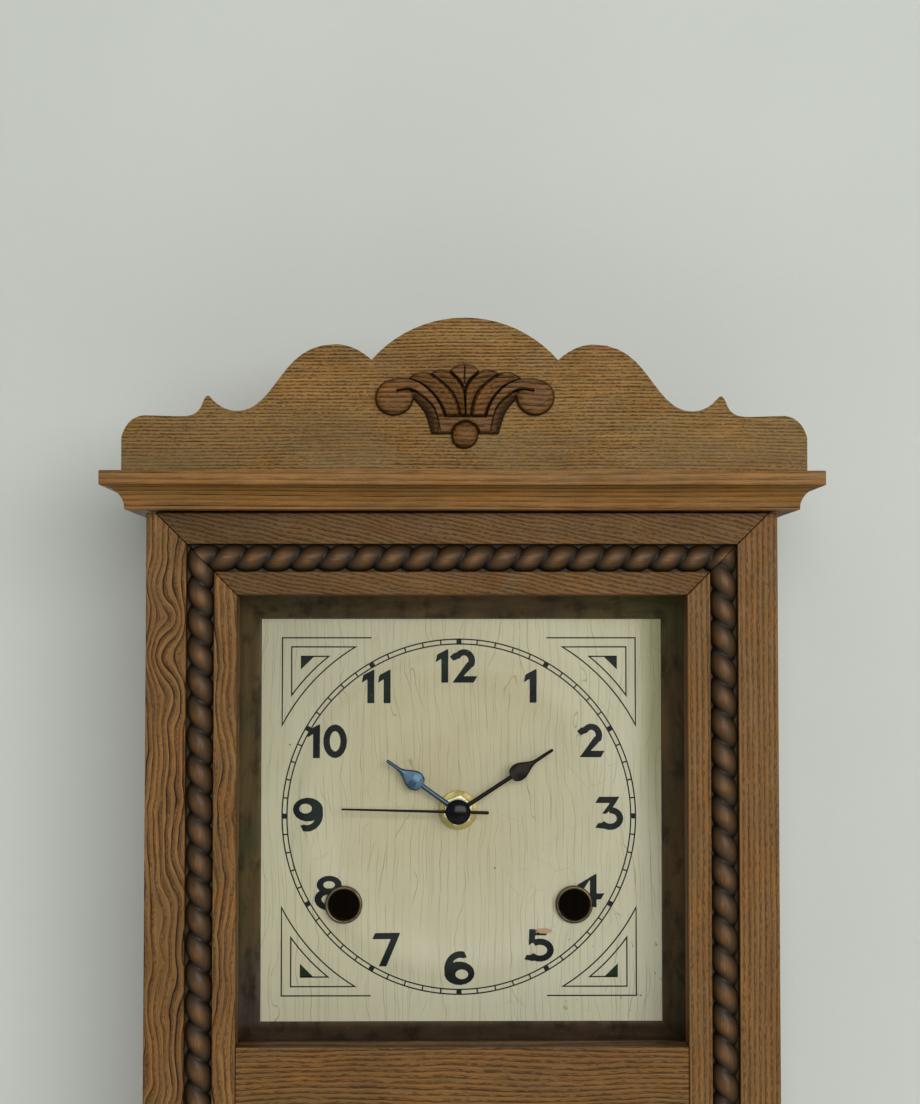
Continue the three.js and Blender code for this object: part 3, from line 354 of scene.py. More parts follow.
class Paint:
    """A node material under construction, ending in one Principled shader.

    x, depth and z are the surface point in millimetres, in the clock's frame.
    """

    def __init__(self, name, metallic=0.0, specular=0.5):
        self.material = bpy.data.materials.new(name)
        self.material.use_nodes = True
        self.nodes = self.material.node_tree.nodes
        self.links = self.material.node_tree.links
        self.nodes.clear()
        self.shader = self.node("ShaderNodeBsdfPrincipled")
        self.output = self.node("ShaderNodeOutputMaterial", {0: Value(self, self.shader)})
        self.set("Metallic", metallic)
        self.set("Specular IOR Level", specular)
        place = Value(self, self.node("ShaderNodeTexCoord"), "Object")
        scaled = self.node(
            "ShaderNodeVectorMath", {0: place, "Scale": 1 / MM}, operation="SCALE")
        split = self.node("ShaderNodeSeparateXYZ", {0: Value(self, scaled)})
        self.x, self.depth, self.z = [Value(self, split, axis) for axis in range(3)]
        self.depth = self.depth * -1.0

    def feed(self, socket, value):
        if isinstance(value, Value):
            self.links.new(value.socket, socket)
        else:
            socket.default_value = value

    def set(self, name, value):
        self.feed(self.shader.inputs[name], value)

    def node(self, kind, feeds=None, **settings):
        """A new node with its settings, and its inputs by name or number."""
        node = self.nodes.new(kind)
        for key, value in settings.items():
            setattr(node, key, value)
        for name, value in (feeds or {}).items():
            self.feed(node.inputs[name], value)
        return node

    def math(self, operation, a, b=0.0):
        return Value(self, self.node("ShaderNodeMath", {0: a, 1: b}, operation=operation))

    def vector(self, x, y, z):
        return Value(self, self.node("ShaderNodeCombineXYZ", {0: x, 1: y, 2: z}))

    def noise(self, scales, detail=2.0, rough=0.5, seed=0.0, axes=None):
        """Noise from 0 to 1; scales are cycles per millimetre, for each axis or for all."""
        if not isinstance(scales, tuple):
            scales = (scales, scales, scales)
        a, b, c = [
            axis * scale for axis, scale in zip(axes or (self.x, self.depth, self.z), scales)]
        return Value(self, self.node("ShaderNodeTexNoise", {
            "Vector": self.vector(a + seed, b, c), "Scale": 1.0, "Detail": detail,
            "Roughness": rough,
        }))

    def cells(self, feature, width, height):
        """A distance in a pattern of cells, of this size in millimetres, seen from the front."""
        place = self.vector(self.x * (1 / width), 0.0, self.z * (1 / height))
        node = self.node("ShaderNodeTexVoronoi", {"Vector": place, "Scale": 1.0}, feature=feature)
        return Value(self, node, "Distance")

    def mix(self, share, a, b, blend="MIX"):
        node = self.node(
            "ShaderNodeMix", {0: share, 6: a, 7: b}, data_type="RGBA", blend_type=blend)
        return Value(self, node, 2)

    def attribute(self, name):
        return Value(self, self.node("ShaderNodeAttribute", attribute_name=name), "Fac")

    def finish(self, colour, roughness, height, distance, strength):
        """Ends the material; height from 0 to 1 is bump that many millimetres deep."""
        bump = self.node(
            "ShaderNodeBump", {"Distance": distance * MM, "Strength": strength, "Height": height})
        self.set("Base Color", colour)
        self.set("Roughness", roughness)
        self.set("Normal", Value(self, bump))
        return self.material


def wood(name, grain, light, dark, pore, ring=2.2, wander=1.5, wander_length=110, curl=0.4,
         slant=0.0, early=0.6, pores=1.0, pore_length=2.5, pore_width=0.42,
         fibres=0.8, mottle=0.14, seed=0.0, gloss=0.5, crevice_shade=None, tilt=0.35, knots=(), tones_and_shade=None):
    """Oiled ring-porous wood. Grain is "level" or "upright"; lengths are in millimetres."""
    paint = Paint(name, specular=0.14)
    x, depth, z = paint.x, paint.depth, paint.z
    along, across = (x, z) if grain == "level" else (z, x)
    across = across + along * slant + depth * tilt
    board = (along, across, depth)
    big = paint.noise((1 / wander_length, 1 / 34, 1 / 50), 2, 0.5, seed, board)
    small = paint.noise((1 / 21, 1 / 15, 1 / 30), 2, 0.55, seed + 7, board)
    bent = across + (big - 0.5) * (2 * wander) + (small - 0.5) * (2 * curl)
    for knot in knots:
        bent = bent + swelling(paint, *knot)
    along_rings = (along, bent, depth)

    # a dark line of early wood in each ring, and pores along it
    turns = bent * (1 / ring)
    phase = paint.math("FRACT", turns)
    each = paint.node(
        "ShaderNodeTexWhiteNoise", {"W": paint.math("FLOOR", turns)}, noise_dimensions="1D")
    strength = Value(paint, each).step(0.0, 1.0, 0.45, 1.1)
    line = phase.step(0.0, 0.07) * phase.step(0.1, 0.32, 1.0, 0.25) * phase.step(0.4, 0.9, 1.0, 0.0)
    patchy = paint.noise((1 / 14, 1 / 5, 1 / 9), 2, 0.5, seed + 53, along_rings)
    line = line * strength * patchy.step(0.3, 0.7, 0.55, 1.15)
    coarse = paint.noise((0.04, 0.95, 0.95), 2, 0.6, seed + 13, along_rings)
    fine = paint.noise((0.10, 2.4, 2.4), 2, 0.6, seed + 19, along_rings)
    fibre = coarse * 0.55 + fine * 0.45
    sizes = (1 / pore_length, 1 / pore_width, 1 / pore_width)
    dash = paint.noise(sizes, 1, 0.5, seed + 29, along_rings)
    porous = phase.step(0.0, 0.15) * phase.step(0.3, 0.75, 1.0, 0.0)
    fleck = (dash + porous * 0.24).step(0.64, 0.78) * pores

    share = line * early + (fibre - 0.5) * (2.0 * fibres) + 0.30
    share = paint.math("MINIMUM", share, 1.15).most(0.0)
    colour = paint.mix(share, srgb(*light), srgb(*dark))
    colour.socket.node.clamp_factor = False
    cloud = paint.noise((1 / 60, 1 / 22, 1 / 40), 3, 0.6, seed + 41, board)
    colour = colour.shade(cloud.step(0.25, 0.75, 1 - mottle, 1 + mottle))
    warm = paint.noise((1 / 26, 1 / 9, 1 / 20), 2, 0.6, seed + 47, board)
    glow = paint.mix(1.0, colour, (1.10, 0.99, 0.86, 1), "MULTIPLY")
    colour = colour.toward(glow, warm.step(0.42, 0.68))
    grit = paint.noise((0.9, 1.9, 1.9), 2, 0.6, seed + 61, board)
    colour = colour.shade(grit.step(0.25, 0.75, 0.90, 1.10))
    colour = colour.toward(srgb(*pore), fleck * 0.72)
    # each wood's own marks and tints, some of them painted shade
    if tones_and_shade is not None:
        colour = tones_and_shade(paint, colour)
    # painted shade in recesses, mixed towards a near-black colour
    if crevice_shade is not None:
        colour = colour.toward(srgb(*crevice_shade), paint.attribute("crevice_shade"))
    wear_and_shine = paint.noise(1 / 9, 3, 0.6, seed + 3)
    rough = wear_and_shine.step(0.3, 0.7, gloss - 0.07, gloss + 0.1)
    return paint.finish(colour, rough, fibre * 0.4 - fleck * 0.7, 0.12, 0.8)


def swelling(paint, at_x, at_z, size, strength):
    """How far a knot near (at_x, at_z) pushes the grain aside."""
    dx = (paint.x - at_x) * (1 / size)
    dz = (paint.z - at_z) * (0.75 / size)
    return paint.math("EXPONENT", (dx * dx + dz * dz) * -1.0) * strength


def rope_wood(name, grain, seed):
    """Dark-stained turned wood, its stain gone orange on the strands' crowns where a painted
    highlight also lies, with painted shade in the notches.
    """
    paint = Paint(name, specular=0.22)
    along, across = (paint.x, paint.z) if grain == "level" else (paint.z, paint.x)
    fibre = paint.noise((0.10, 1.5, 1.5), 3, 0.6, seed, (along, across, paint.depth))
    patch = paint.noise(1 / 8, 2, 0.5, seed + 3)
    # the crowns' orange is real wear together with a painted highlight
    rubbed_and_highlight = paint.attribute("wear_and_shine") * fibre.step(0.25, 0.75, 0.35, 1.3)
    rubbed_and_highlight = rubbed_and_highlight * patch.step(0.3, 0.7, 0.45, 1.2)
    colour = paint.mix(rubbed_and_highlight, srgb(67, 50, 31), srgb(125, 86, 49))
    # painted shade in the notches and along the groove
    colour = colour.toward(srgb(26, 21, 16), paint.attribute("crevice_shade"))
    return paint.finish(colour, patch.step(0.2, 0.8, 0.36, 0.5), fibre, 0.1, 0.6)


def groove_shade_and_dirt(paint, colour):
    """Painted shade and grey dirt in the door's rope groove, darkest at its floor."""
    share = paint.depth.step(GROOVE_FLOOR + 0.2, GROOVE_FLOOR + 3.6, 0.86, 0.0)
    front = paint.depth.step(GROOVE_FLOOR - 1.5, GROOVE_FLOOR - 1.0)
    return colour.toward(srgb(58, 52, 44), share * front)


def top_rail_shade_and_tone(paint, colour):
    """The groove's painted shade and grey dirt, and the top rail darker towards its left end."""
    return groove_shade_and_dirt(paint, colour.shade(paint.x.step(-125, -20, 0.70, 1.0)))


def shaded_inside(paint, colour):
    """The case's inside is painted nearly black, as painted shade where little light reaches."""
    within = abs(paint.x).step(115.2, 114.9)
    within = within * paint.z.step(TOP_BOARD.z0 + 0.9, TOP_BOARD.z0 + 0.6)
    within = within * paint.z.step(BOTTOM_BOARD.z1 - 0.9, BOTTOM_BOARD.z1 - 0.6)
    share = within * paint.depth.step(7.6, 7.9)
    return colour.toward(srgb(34, 28, 23), share * 0.93)


def crown_tones(paint, colour):
    """A greyer cast low on the crown board, and its darker left end."""
    colour = colour.shade(paint.x.step(-130, 60, 0.91, 1.05))
    low = paint.z.step(CROWN.z0 + 2, CROWN.z0 + 34, 0.45, 0.0)
    patch = paint.noise((1 / 45, 1 / 45, 1 / 18), 2, 0.5, 3.0)
    return colour.toward(srgb(132, 114, 76), low * patch.step(0.35, 0.7))


def metal(name, colour, dark, roughness=0.35, metallic=1.0, tarnish=0.5, rim=None, specular=0.5):
    """Aged metal with cloudy tarnish and fine scratches; rim tints its "rim" vertices, which on the
    hands is painted shade along their chamfered edges.
    """
    paint = Paint(name, metallic, specular)
    cloud = paint.noise(0.12, 5, 0.65)
    speck = paint.noise(0.9, 2, 0.5, 5).step(0.66, 0.74)
    share = cloud.step(0.62 - tarnish * 0.3, 0.9 - tarnish * 0.3).most(speck * tarnish)
    shown = paint.mix(share, srgb(*colour), srgb(*dark))
    if rim is not None:
        shown = shown.toward(srgb(*rim), paint.attribute("rim"))
    fine = paint.noise((0.4, 2.6, 2.6), 2, 0.5, 9)
    rough = (share * 0.6 + fine * 0.5).step(0.1, 1.1, roughness - 0.06, roughness + 0.25)
    return paint.finish(shown, rough, fine + share * 0.5, 0.02, 0.5)


def plastic(name, colour, other, roughness, seed, specular=0.5):
    """Moulded plastic with a faint spark-eroded texture and dust."""
    paint = Paint(name, specular=specular)
    dust = paint.noise(0.08, 4, 0.6, seed)
    grit = paint.noise(4, 2, 0.5, seed + 2)
    shown = paint.mix(dust.step(0.45, 0.8), srgb(*colour), srgb(*other))
    rough = grit.step(0.2, 0.8, roughness - 0.05, roughness + 0.12)
    return paint.finish(shown, rough, grit, 0.03, 0.4)


def dial_paint():
    """Aged cream enamel: fine upright crackle, flecks, stains and a few chips."""
    paint = Paint("dial_paint", specular=0.15)
    x, z = paint.x, paint.z
    cream, warm, pale = srgb(203, 197, 168), srgb(190, 178, 143), srgb(206, 202, 178)
    cloud = paint.noise((1 / 55, 1 / 55, 1 / 70), 4, 0.6, 1.0)
    across, up = x - DIAL.x, z - (DIAL.z + 18)
    middle = (across * across + up * up).step(78 ** 2, 20 ** 2, 0.0, 0.6)
    colour = paint.mix(middle + cloud.step(0.35, 0.7, 0.0, 0.4), cream, warm)
    colour = colour.toward(pale, (x * 0.5 + z * -0.6).step(40, 130) * 0.5)
    streak = paint.noise((0.55, 0.2, 0.02), 3, 0.6, 4.0)
    colour = colour.shade(streak.step(0.25, 0.75, 0.975, 1.025))
    colour = edge_shade_and_grime(paint, colour)

    warp = paint.noise((1 / 26, 1 / 26, 1 / 70), 3, 0.5, 9.0)
    crack = 0.0
    for spacing, shift, seed in ((3.3, 0.0, 3.0), (4.9, 1.3, 17.0), (7.3, 2.2, 27.0)):
        bent = x * (1 / spacing) + warp * (2.2 + shift) + shift
        away = abs(paint.math("FRACT", bent) - 0.5)
        line = away.step(0.03 / spacing, 0.13 / spacing, 1.0, 0.0)
        broken = paint.noise((1 / 11, 1 / 20, 1 / 26), 2, 0.5, seed).step(0.40, 0.58)
        crack = (line * broken).most(crack)
    web = paint.cells("DISTANCE_TO_EDGE", 9, 15).step(0.006, 0.022, 1.0, 0.0)
    patchy = paint.noise(1 / 30, 2, 0.5, 23.0).step(0.58, 0.70)
    crack = crack.most(web * patchy * 0.3)
    colour = colour.toward(srgb(88, 77, 52), crack * 0.46)

    spot = paint.cells("F1", 16, 16).step(0.018, 0.034, 1.0, 0.0)
    colour = colour.toward(srgb(84, 68, 46), spot * 0.75)
    rust = paint.noise((0.35, 0.35, 0.22), 3, 0.6, 31.0).step(0.66, 0.71)
    right_foot = x.step(DIAL.x + 30, DIAL.x + 60) * z.step(DIAL.z - 35, DIAL.z - 60)
    nick = (rust * right_foot).most(chipped_five(paint) * 0.7)
    colour = colour.toward(srgb(150, 104, 68), nick * 0.8)
    rough = cloud.step(0.3, 0.7, 0.34, 0.46)
    return paint.finish(colour, rough, 1.0 - crack.most(nick), 0.05, 0.6)


def edge_shade_and_grime(paint, colour):
    """Painted shade round the dial's edge, heaviest at its upper left, a painted olive shadow and
    bezel reflection down the upper right side, and faint grime all round.
    """
    across, up = paint.x - DIAL.x, paint.z - DIAL.z
    # painted shade, darker towards the upper left
    lean = up * 0.7 + across * -0.7
    colour = colour.shade(lean.step(30, 115, 1.0, 0.81))
    far = abs(across).most(abs(up))
    colour = colour.shade(far.step(72, 88, 1.0, 0.98))
    # a painted shadow and reflection of the bezel, olive, on the upper part of the right edge
    corner = across.step(74, 84) * up.step(-30, 40)
    olive = paint.mix(1.0, colour, (0.55, 0.55, 0.35, 1), "MULTIPLY")
    return colour.toward(olive, corner * 0.8)


def chipped_five(paint):
    """Where the paint has flaked at the top of the numeral five."""
    across = (paint.x - (DIAL.x + 36.0)) * (1 / 4.4)
    up = (paint.z - (DIAL.z - 48.4)) * (1 / 1.5)
    ragged = paint.noise((0.9, 0.9, 0.0), 3, 0.6, 14.0, (paint.x, paint.z, paint.z))
    return (across * across + up * up + ragged * 2.4).step(1.9, 1.65)


def ink():
    """Old printing ink, near black with a green cast, chipped here and there."""
    paint = Paint("dial_ink", specular=0.12)
    cloud = paint.noise(1 / 26, 2, 0.5, 5.0)
    colour = paint.mix(cloud.step(0.4, 0.62), srgb(27, 28, 31), srgb(26, 38, 30))
    chip = paint.noise(0.5, 4, 0.65, 12.0).step(0.74, 0.77).most(chipped_five(paint))
    fade = paint.noise((0.25, 0.25, 0.6), 3, 0.6, 2.0)
    colour = colour.shade(fade.step(0.2, 0.8, 0.85, 1.25))
    return paint.finish(colour.toward(srgb(186, 152, 122), chip), 0.5, chip * -1.0, 0.04, 0.5)


def bezel_brass():
    """A lacquered brass bezel, browned nearly black with olive clouds and wipe marks."""
    paint = Paint("bezel_brass", metallic=0.35, specular=0.2)
    x, depth, z = paint.x, paint.depth, paint.z
    cloud = paint.noise((1 / 20, 1 / 20, 1 / 34), 4, 0.6, 2.0)
    olive = paint.mix(cloud.step(0.38, 0.62), srgb(70, 66, 42), srgb(96, 78, 50))
    low = (z + cloud * 60.0).step(BEZEL.z - 12, BEZEL.z - 52)
    left_side = olive.toward(srgb(84, 70, 61), low)
    brown = paint.mix(cloud.step(0.4, 0.65), srgb(76, 62, 43), srgb(90, 71, 47))
    green = z.step(BEZEL.z + 60, BEZEL.z + 90) * x.step(BEZEL.x + 30, BEZEL.x + 90)
    colour = brown.toward(srgb(82, 80, 46), green * 0.6)
    colour = colour.toward(left_side, x.step(BEZEL.x - 60, BEZEL.x - 86))
    foot = z.step(BEZEL.z - 84, BEZEL.z - 88)
    colour = colour.toward(srgb(62, 46, 33), foot * 0.9)
    smear = paint.noise((0.06, 0.3, 0.02), 3, 0.6, 8.0)
    colour = colour.shade(smear.step(0.25, 0.75, 0.7, 1.25))
    blot = paint.noise((1 / 9, 1 / 9, 1 / 15), 3, 0.65, 15.0)
    colour = colour.shade(blot.step(0.5, 0.66, 1.0, 0.55))
    dust = paint.noise(1.3, 2, 0.5, 6.0).step(0.70, 0.78)
    colour = colour.toward(srgb(160, 152, 136), dust * 0.4)
    rub = depth.step(BEZEL.front - 0.5, BEZEL.front - 0.1)
    colour = colour.toward(srgb(128, 94, 54), rub * 0.6)
    return paint.finish(colour, smear.step(0.2, 0.8, 0.36, 0.55), cloud, 0.25, 0.35)


def pane_glass():
    """Old window glass, with a slow ripple; its reflection is faint, as in the photograph."""
    paint = Paint("pane_glass")
    paint.set("Transmission Weight", 1.0)
    paint.set("IOR", 1.02)
    ripple = paint.noise((1 / 50, 1 / 50, 1 / 90), 1, 0.5, 4.0)
    return paint.finish((0.97, 0.99, 0.98, 1), 0.03, ripple, 0.4, 0.25)


def wall_paint():
    """Pale plaster, seen only from the room's side."""
    paint = Paint("pale_wall", specular=0.2)
    cloud = paint.noise(1 / 300, 3, 0.5).step(0.3, 0.7)
    both = paint.node("ShaderNodeMixShader", {
        0: Value(paint, paint.node("ShaderNodeNewGeometry"), "Backfacing"),
        1: Value(paint, paint.shader),
        2: Value(paint, paint.node("ShaderNodeBsdfTransparent")),
    })
    paint.feed(paint.output.inputs[0], Value(paint, both))
    colour = paint.mix(cloud, srgb(213, 217, 211), srgb(219, 223, 217))
    return paint.finish(colour, 0.85, paint.noise(1 / 5, 4, 0.6), 0.5, 0.35)


# knots in the left stile: place, size and how far each pushes the grain
LEFT_KNOTS = [
    (-126, -20, 7, 5.0), (-119, -34, 6, -4.0), (-125, -50, 8, 4.5), (-116, -64, 7, -3.0),
    (-124, -112, 11, 2.5), (-117, -150, 12, -3.0), (-125, -196, 12, 2.5), (-96, -70, 9, 2.5),
    (-97, -135, 10, -2.0), (-122, -250, 13, 3.5), (-118, -320, 14, -3.0),
]

# each wood's grain, its light, dark and pore colours, and what else is its own
WOODS = {
    "crown": ("level", (163, 126, 72), (90, 64, 31), (42, 28, 13), {
        "ring": 1.45, "wander": 1.8, "curl": 0.3, "early": 0.68, "pore_length": 1.5,
        "pore_width": 0.32, "fibres": 1.0, "mottle": 0.13, "seed": 2.0, "tilt": 0.3,
        "tones_and_shade": crown_tones, "gloss": 0.56}),
    "cornice": ("level", (155, 114, 61), (82, 53, 24), (54, 33, 17), {
        "ring": 2.6, "wander": 1.6, "wander_length": 170, "curl": 0.1, "early": 0.85,
        "pores": 0.4, "pore_length": 9.0, "seed": 5.0, "tilt": 0.6, "gloss": 0.46}),
    "rail": ("level", (124, 91, 50), (76, 53, 26), (42, 28, 15), {
        "ring": 1.8, "wander": 3.4, "wander_length": 45, "curl": 1.3, "slant": 0.22,
        "pores": 0.8, "pore_length": 2.0, "mottle": 0.16, "seed": 11.0, "tilt": 0.2,
        "tones_and_shade": top_rail_shade_and_tone}),
    "rail_low": ("level", (137, 101, 55), (84, 56, 26), (48, 31, 17), {
        "ring": 2.1, "wander": 3.4, "wander_length": 80, "curl": 0.8, "early": 0.8,
        "pores": 0.9, "pore_length": 3.5, "seed": 17.0, "tilt": 0.2, "tones_and_shade": groove_shade_and_dirt}),
    "stile_left": ("upright", (148, 108, 60), (60, 38, 18), (50, 31, 17), {
        "ring": 2.7, "wander": 7.0, "wander_length": 62, "curl": 2.2, "early": 0.9,
        "pores": 0.7, "pore_length": 1.8, "fibres": 1.0, "mottle": 0.18, "seed": 23.0,
        "tilt": 0.3, "knots": LEFT_KNOTS, "tones_and_shade": groove_shade_and_dirt}),
    "stile_right": ("upright", (139, 102, 57), (86, 60, 30), (54, 36, 19), {
        "ring": 2.3, "wander": 1.6, "wander_length": 160, "curl": 0.25, "early": 0.42,
        "pores": 0.8, "pore_length": 2.6, "fibres": 1.0, "seed": 31.0, "tilt": 0.3,
        "tones_and_shade": groove_shade_and_dirt}),
    "case": ("upright", (134, 98, 58), (90, 62, 34), (50, 33, 19), {
        "ring": 2.8, "wander": 3.0, "curl": 0.5, "early": 0.7, "pores": 0.9, "seed": 37.0,
        "tilt": 0.9, "tones_and_shade": shaded_inside}),
    "raw": ("upright", (176, 148, 108), (146, 114, 76), (100, 76, 50), {
        "ring": 4.2, "wander": 5.0, "curl": 0.6, "pores": 0.3, "mottle": 0.12, "seed": 43.0,
        "gloss": 0.72, "tilt": 0.9, "tones_and_shade": shaded_inside}),
    # the carved wood's last colour is painted shade for its recesses
    "carved": ("level", (136, 95, 50), (60, 38, 18), (36, 23, 13), {
        "ring": 2.1, "wander": 2.2, "wander_length": 40, "curl": 0.6, "early": 0.8,
        "pores": 0.8, "pore_length": 3.0, "fibres": 1.1, "mottle": 0.18, "seed": 61.0,
        "crevice_shade": (22, 17, 12)}),
}
MAT = {key: wood(f"{key}_wood", *row[:-1], **row[-1]) for key, row in WOODS.items()}
MAT.update({
    "rope_upright": rope_wood("rope_wood_upright", "upright", 51.0),
    "rope_level": rope_wood("rope_wood_level", "level", 57.0),
    "brass": metal("brass", (206, 176, 104), (120, 92, 48), 0.24, tarnish=0.35),
    "old_brass": metal("old_brass", (112, 86, 50), (52, 40, 28), 0.4, tarnish=0.8),
    "grommet": metal("grommet_brass", (104, 90, 64), (52, 42, 29), 0.36, 0.7, 0.6),
    "nut": metal("nut_brass", (214, 206, 176), (176, 160, 118), 0.26, 0.6, 0.2),
    "washer": metal("washer_brass", (172, 156, 92), (122, 104, 56), 0.4, 0.35, 0.4,
                    specular=0.3),
    "steel": metal("steel", (160, 162, 166), (96, 84, 74), 0.34),
    # the hands' last colours are painted shade for their chamfered edges
    "blue_steel": metal("hour_hand_steel", (74, 98, 116), (54, 73, 88), 0.3, 0.4, 0.3,
                        (12, 14, 17), 0.1),
    "black": metal("hand_black", (40, 34, 30), (28, 24, 22), 0.4, 0.2, 0.4, (10, 9, 9), 0.08),
    "cap": plastic("cap_black", (14, 15, 18), (22, 24, 27), 0.12, 3.0, 0.16),
    "black_plastic": plastic("movement_plastic", (34, 34, 36), (58, 56, 54), 0.5, 1.0),
    "white_plastic": plastic("wheel_plastic", (222, 220, 210), (198, 194, 180), 0.4, 5.0),
    "rubber": plastic("rubber", (28, 28, 28), (52, 50, 48), 0.75, 7.0),
    "copper": metal("coil_copper", (176, 92, 56), (110, 54, 34), 0.4, tarnish=0.3),
    "cell": plastic("battery_skin", (40, 66, 92), (60, 86, 108), 0.35, 9.0),
    "dial": dial_paint(),
    "ink": ink(),
    "bezel": bezel_brass(),
    "glass": pane_glass(),
})

# CAD nodes that keep their shape: finish, rounding in millimetres, its segments, and names
FINISHES = (
    ("crown", 0.5, 2, "crown_board"),
    ("cornice", 0.35, 2, "cornice_front cornice_return_left cornice_return_right"),
    ("cornice", 0.4, 2, "base_front base_return_left base_return_right"),
    ("case", 0.5, 2, "case_side_left case_side_right top_board bottom_board"),
    ("raw", 0.4, 2, "back_board dial_batten_left dial_batten_right"),
    ("stile_left", 0.35, 2, "door_stile_left"),
    ("stile_right", 0.35, 2, "door_stile_right"),
    ("rail", 0.35, 2, "door_rail_top"),
    ("rail_low", 0.35, 2, "door_rail_bottom door_rail_middle"),
    ("steel", 0.15, 2, "hanger_plate"),
    ("old_brass", 0.15, 2, "hinge_case_upper hinge_case_lower hinge_door_upper"),
    ("old_brass", 0.15, 2, "hinge_door_lower latch_post latch_hook latch_stud"),
    ("nut", 0.25, 2, "hex_nut"),
    ("black_plastic", 0.25, 2, "movement_front_shell movement_back_cover set_knob"),
    ("white_plastic", 0.04, 1, "second_wheel intermediate_wheel third_wheel"),
    ("white_plastic", 0.04, 1, "centre_wheel minute_wheel hour_wheel"),
    ("steel", 0.04, 1, "rotor stator"),
    ("copper", 0.3, 2, "drive_coil"),
    ("cell", 0.3, 2, "battery"),
    ("brass", 0.15, 2, "pendulum_hanger pendulum_rod"),
    ("glass", 0.2, 1, "glass_upper glass_lower"),
)


# ---------------- wooden case and door


def dress_cad_nodes():
    """Gives the CAD nodes that keep their shape their rounded edges and finish."""
    for finish, width, segments, names in FINISHES:
        for name in names.split():
            soften(frame["nodes"][name], width, segments, MAT[finish])
    for name in ("glass_upper", "glass_lower"):
        unlit(frame["nodes"][name])


ROPE_RADIUS = GROOVE / 2 - 0.06
ROPE_AXIS = GROOVE_FLOOR + 0.3
# lengths of one strand along the upright and the level ropes
UPRIGHT_PITCH, LEVEL_PITCH = 12.1, 11.4


def rope(name, level, across, start, end, pitch, phase, mitres):
    """A half-round bar carved as a rope; mitres are its end cuts, (point, outward normal)."""
    around = 16
    per_turn = 26
    steps = int((end - start) / pitch * per_turn)
    lean = -0.25 if level else 0.25
    points, crevice_shade, wear_and_shine = [], [], []
    for i in range(steps + 1):
        s = start + (end - start) * i / steps
        for k in range(around + 1):
            angle = math.pi * k / around
            turn = s / pitch - lean * math.cos(angle) + phase
            w = 2 * (turn - math.floor(turn)) - 1
            radius = ROPE_RADIUS * (0.68 + 0.32 * (1 - w * w) ** 0.7)
            side, proud = -radius * math.cos(angle), radius * math.sin(angle)
            x, z = (s, across + side) if level else (across + side, s)
            points.append((x, ROPE_AXIS + proud, z))
            # painted shade in the notches between strands and down the rope's sides where it meets
            # the groove
            crevice_shade.append(min(1.0, abs(w) ** 4 + 0.9 * (1 - math.sin(angle)) ** 1.3))
            # the strands' crowns are rubbed to orange, with a painted highlight placed a little low
            # on each
            rub = ((w + 0.08) / 0.45) ** 2 + ((math.degrees(angle) - 86) / 30) ** 2
            wear_and_shine.append(math.exp(-rub))
    mesh = new_mesh(name, points, tube_faces(steps + 1, around + 1))
    layer(mesh, "crevice_shade", crevice_shade)
    layer(mesh, "wear_and_shine", wear_and_shine)
    work = bmesh.new()
    work.from_mesh(mesh)
    bmesh.ops.recalc_face_normals(work, faces=work.faces)
    for point, normal in mitres:
        cut = bmesh.ops.bisect_plane(
            work, geom=work.verts[:] + work.edges[:] + work.faces[:],
            plane_co=Vector((point[0] * MM, 0, point[1] * MM)),
            plane_no=Vector((normal[0], 0, normal[1])), clear_outer=True,
        )
        rim = [e for e in cut["geom_cut"] if isinstance(e, bmesh.types.BMEdge)]
        bmesh.ops.contextual_create(work, geom=rim)
    work.to_mesh(mesh)
    work.free()
    face_out(mesh)
    finish = "rope_level" if level else "rope_upright"
    settle(add_object(f"{name}_carved", mesh), "door", finish, (name,), 60)


def ropes():
    """The four ropes, cut on the mitres that run in at 45 degrees from the door's corners."""
    into = BAND_OUTER + GROOVE / 2
    for name, sign, phase in (("rope_left", -1, 0.55), ("rope_right", 1, 0.0)):
        mitres = [
            ((sign * DOOR_HALF, MITRE_TOP - MITRE_AIR), (-sign, 1)),
            ((sign * DOOR_HALF, MITRE_BOTTOM + MITRE_AIR), (-sign, -1)),
        ]
        rope(name, False, sign * (DOOR_HALF - into), MITRE_BOTTOM, MITRE_TOP,
             UPRIGHT_PITCH, phase, mitres)
    for name, edge, up, phase in (
        ("rope_top", MITRE_TOP, 1, 0.0), ("rope_bottom", MITRE_BOTTOM, -1, 0.3)
    ):
        reach = DOOR_HALF - MITRE_AIR
        mitres = [((side * reach, edge), (side, -up)) for side in (-1, 1)]
        rope(name, True, edge - up * into, -DOOR_HALF, DOOR_HALF, LEVEL_PITCH,
             phase, mitres)


def spline(knots, at):
    """A smooth curve through (position, value) knots, sampled at an array of positions."""
    xs, ys = np.array(knots, float).T
    slopes = np.gradient(ys, xs)
    at = np.clip(at, xs[0], xs[-1])
    i = np.clip(np.searchsorted(xs, at) - 1, 0, len(xs) - 2)
    h = xs[i + 1] - xs[i]
    t = (at - xs[i]) / h
    return (
        (1 + 2 * t) * (1 - t) ** 2 * ys[i] + t * (1 - t) ** 2 * h * slopes[i]
        + t ** 2 * (3 - 2 * t) * ys[i + 1] + t ** 2 * (t - 1) * h * slopes[i + 1]
    )


def smooth(value, low, high):
    """A smooth step of an array from 0 at low to 1 at high."""
    t = np.clip((value - low) / (high - low), 0, 1)
    return t * t * (3 - 2 * t)


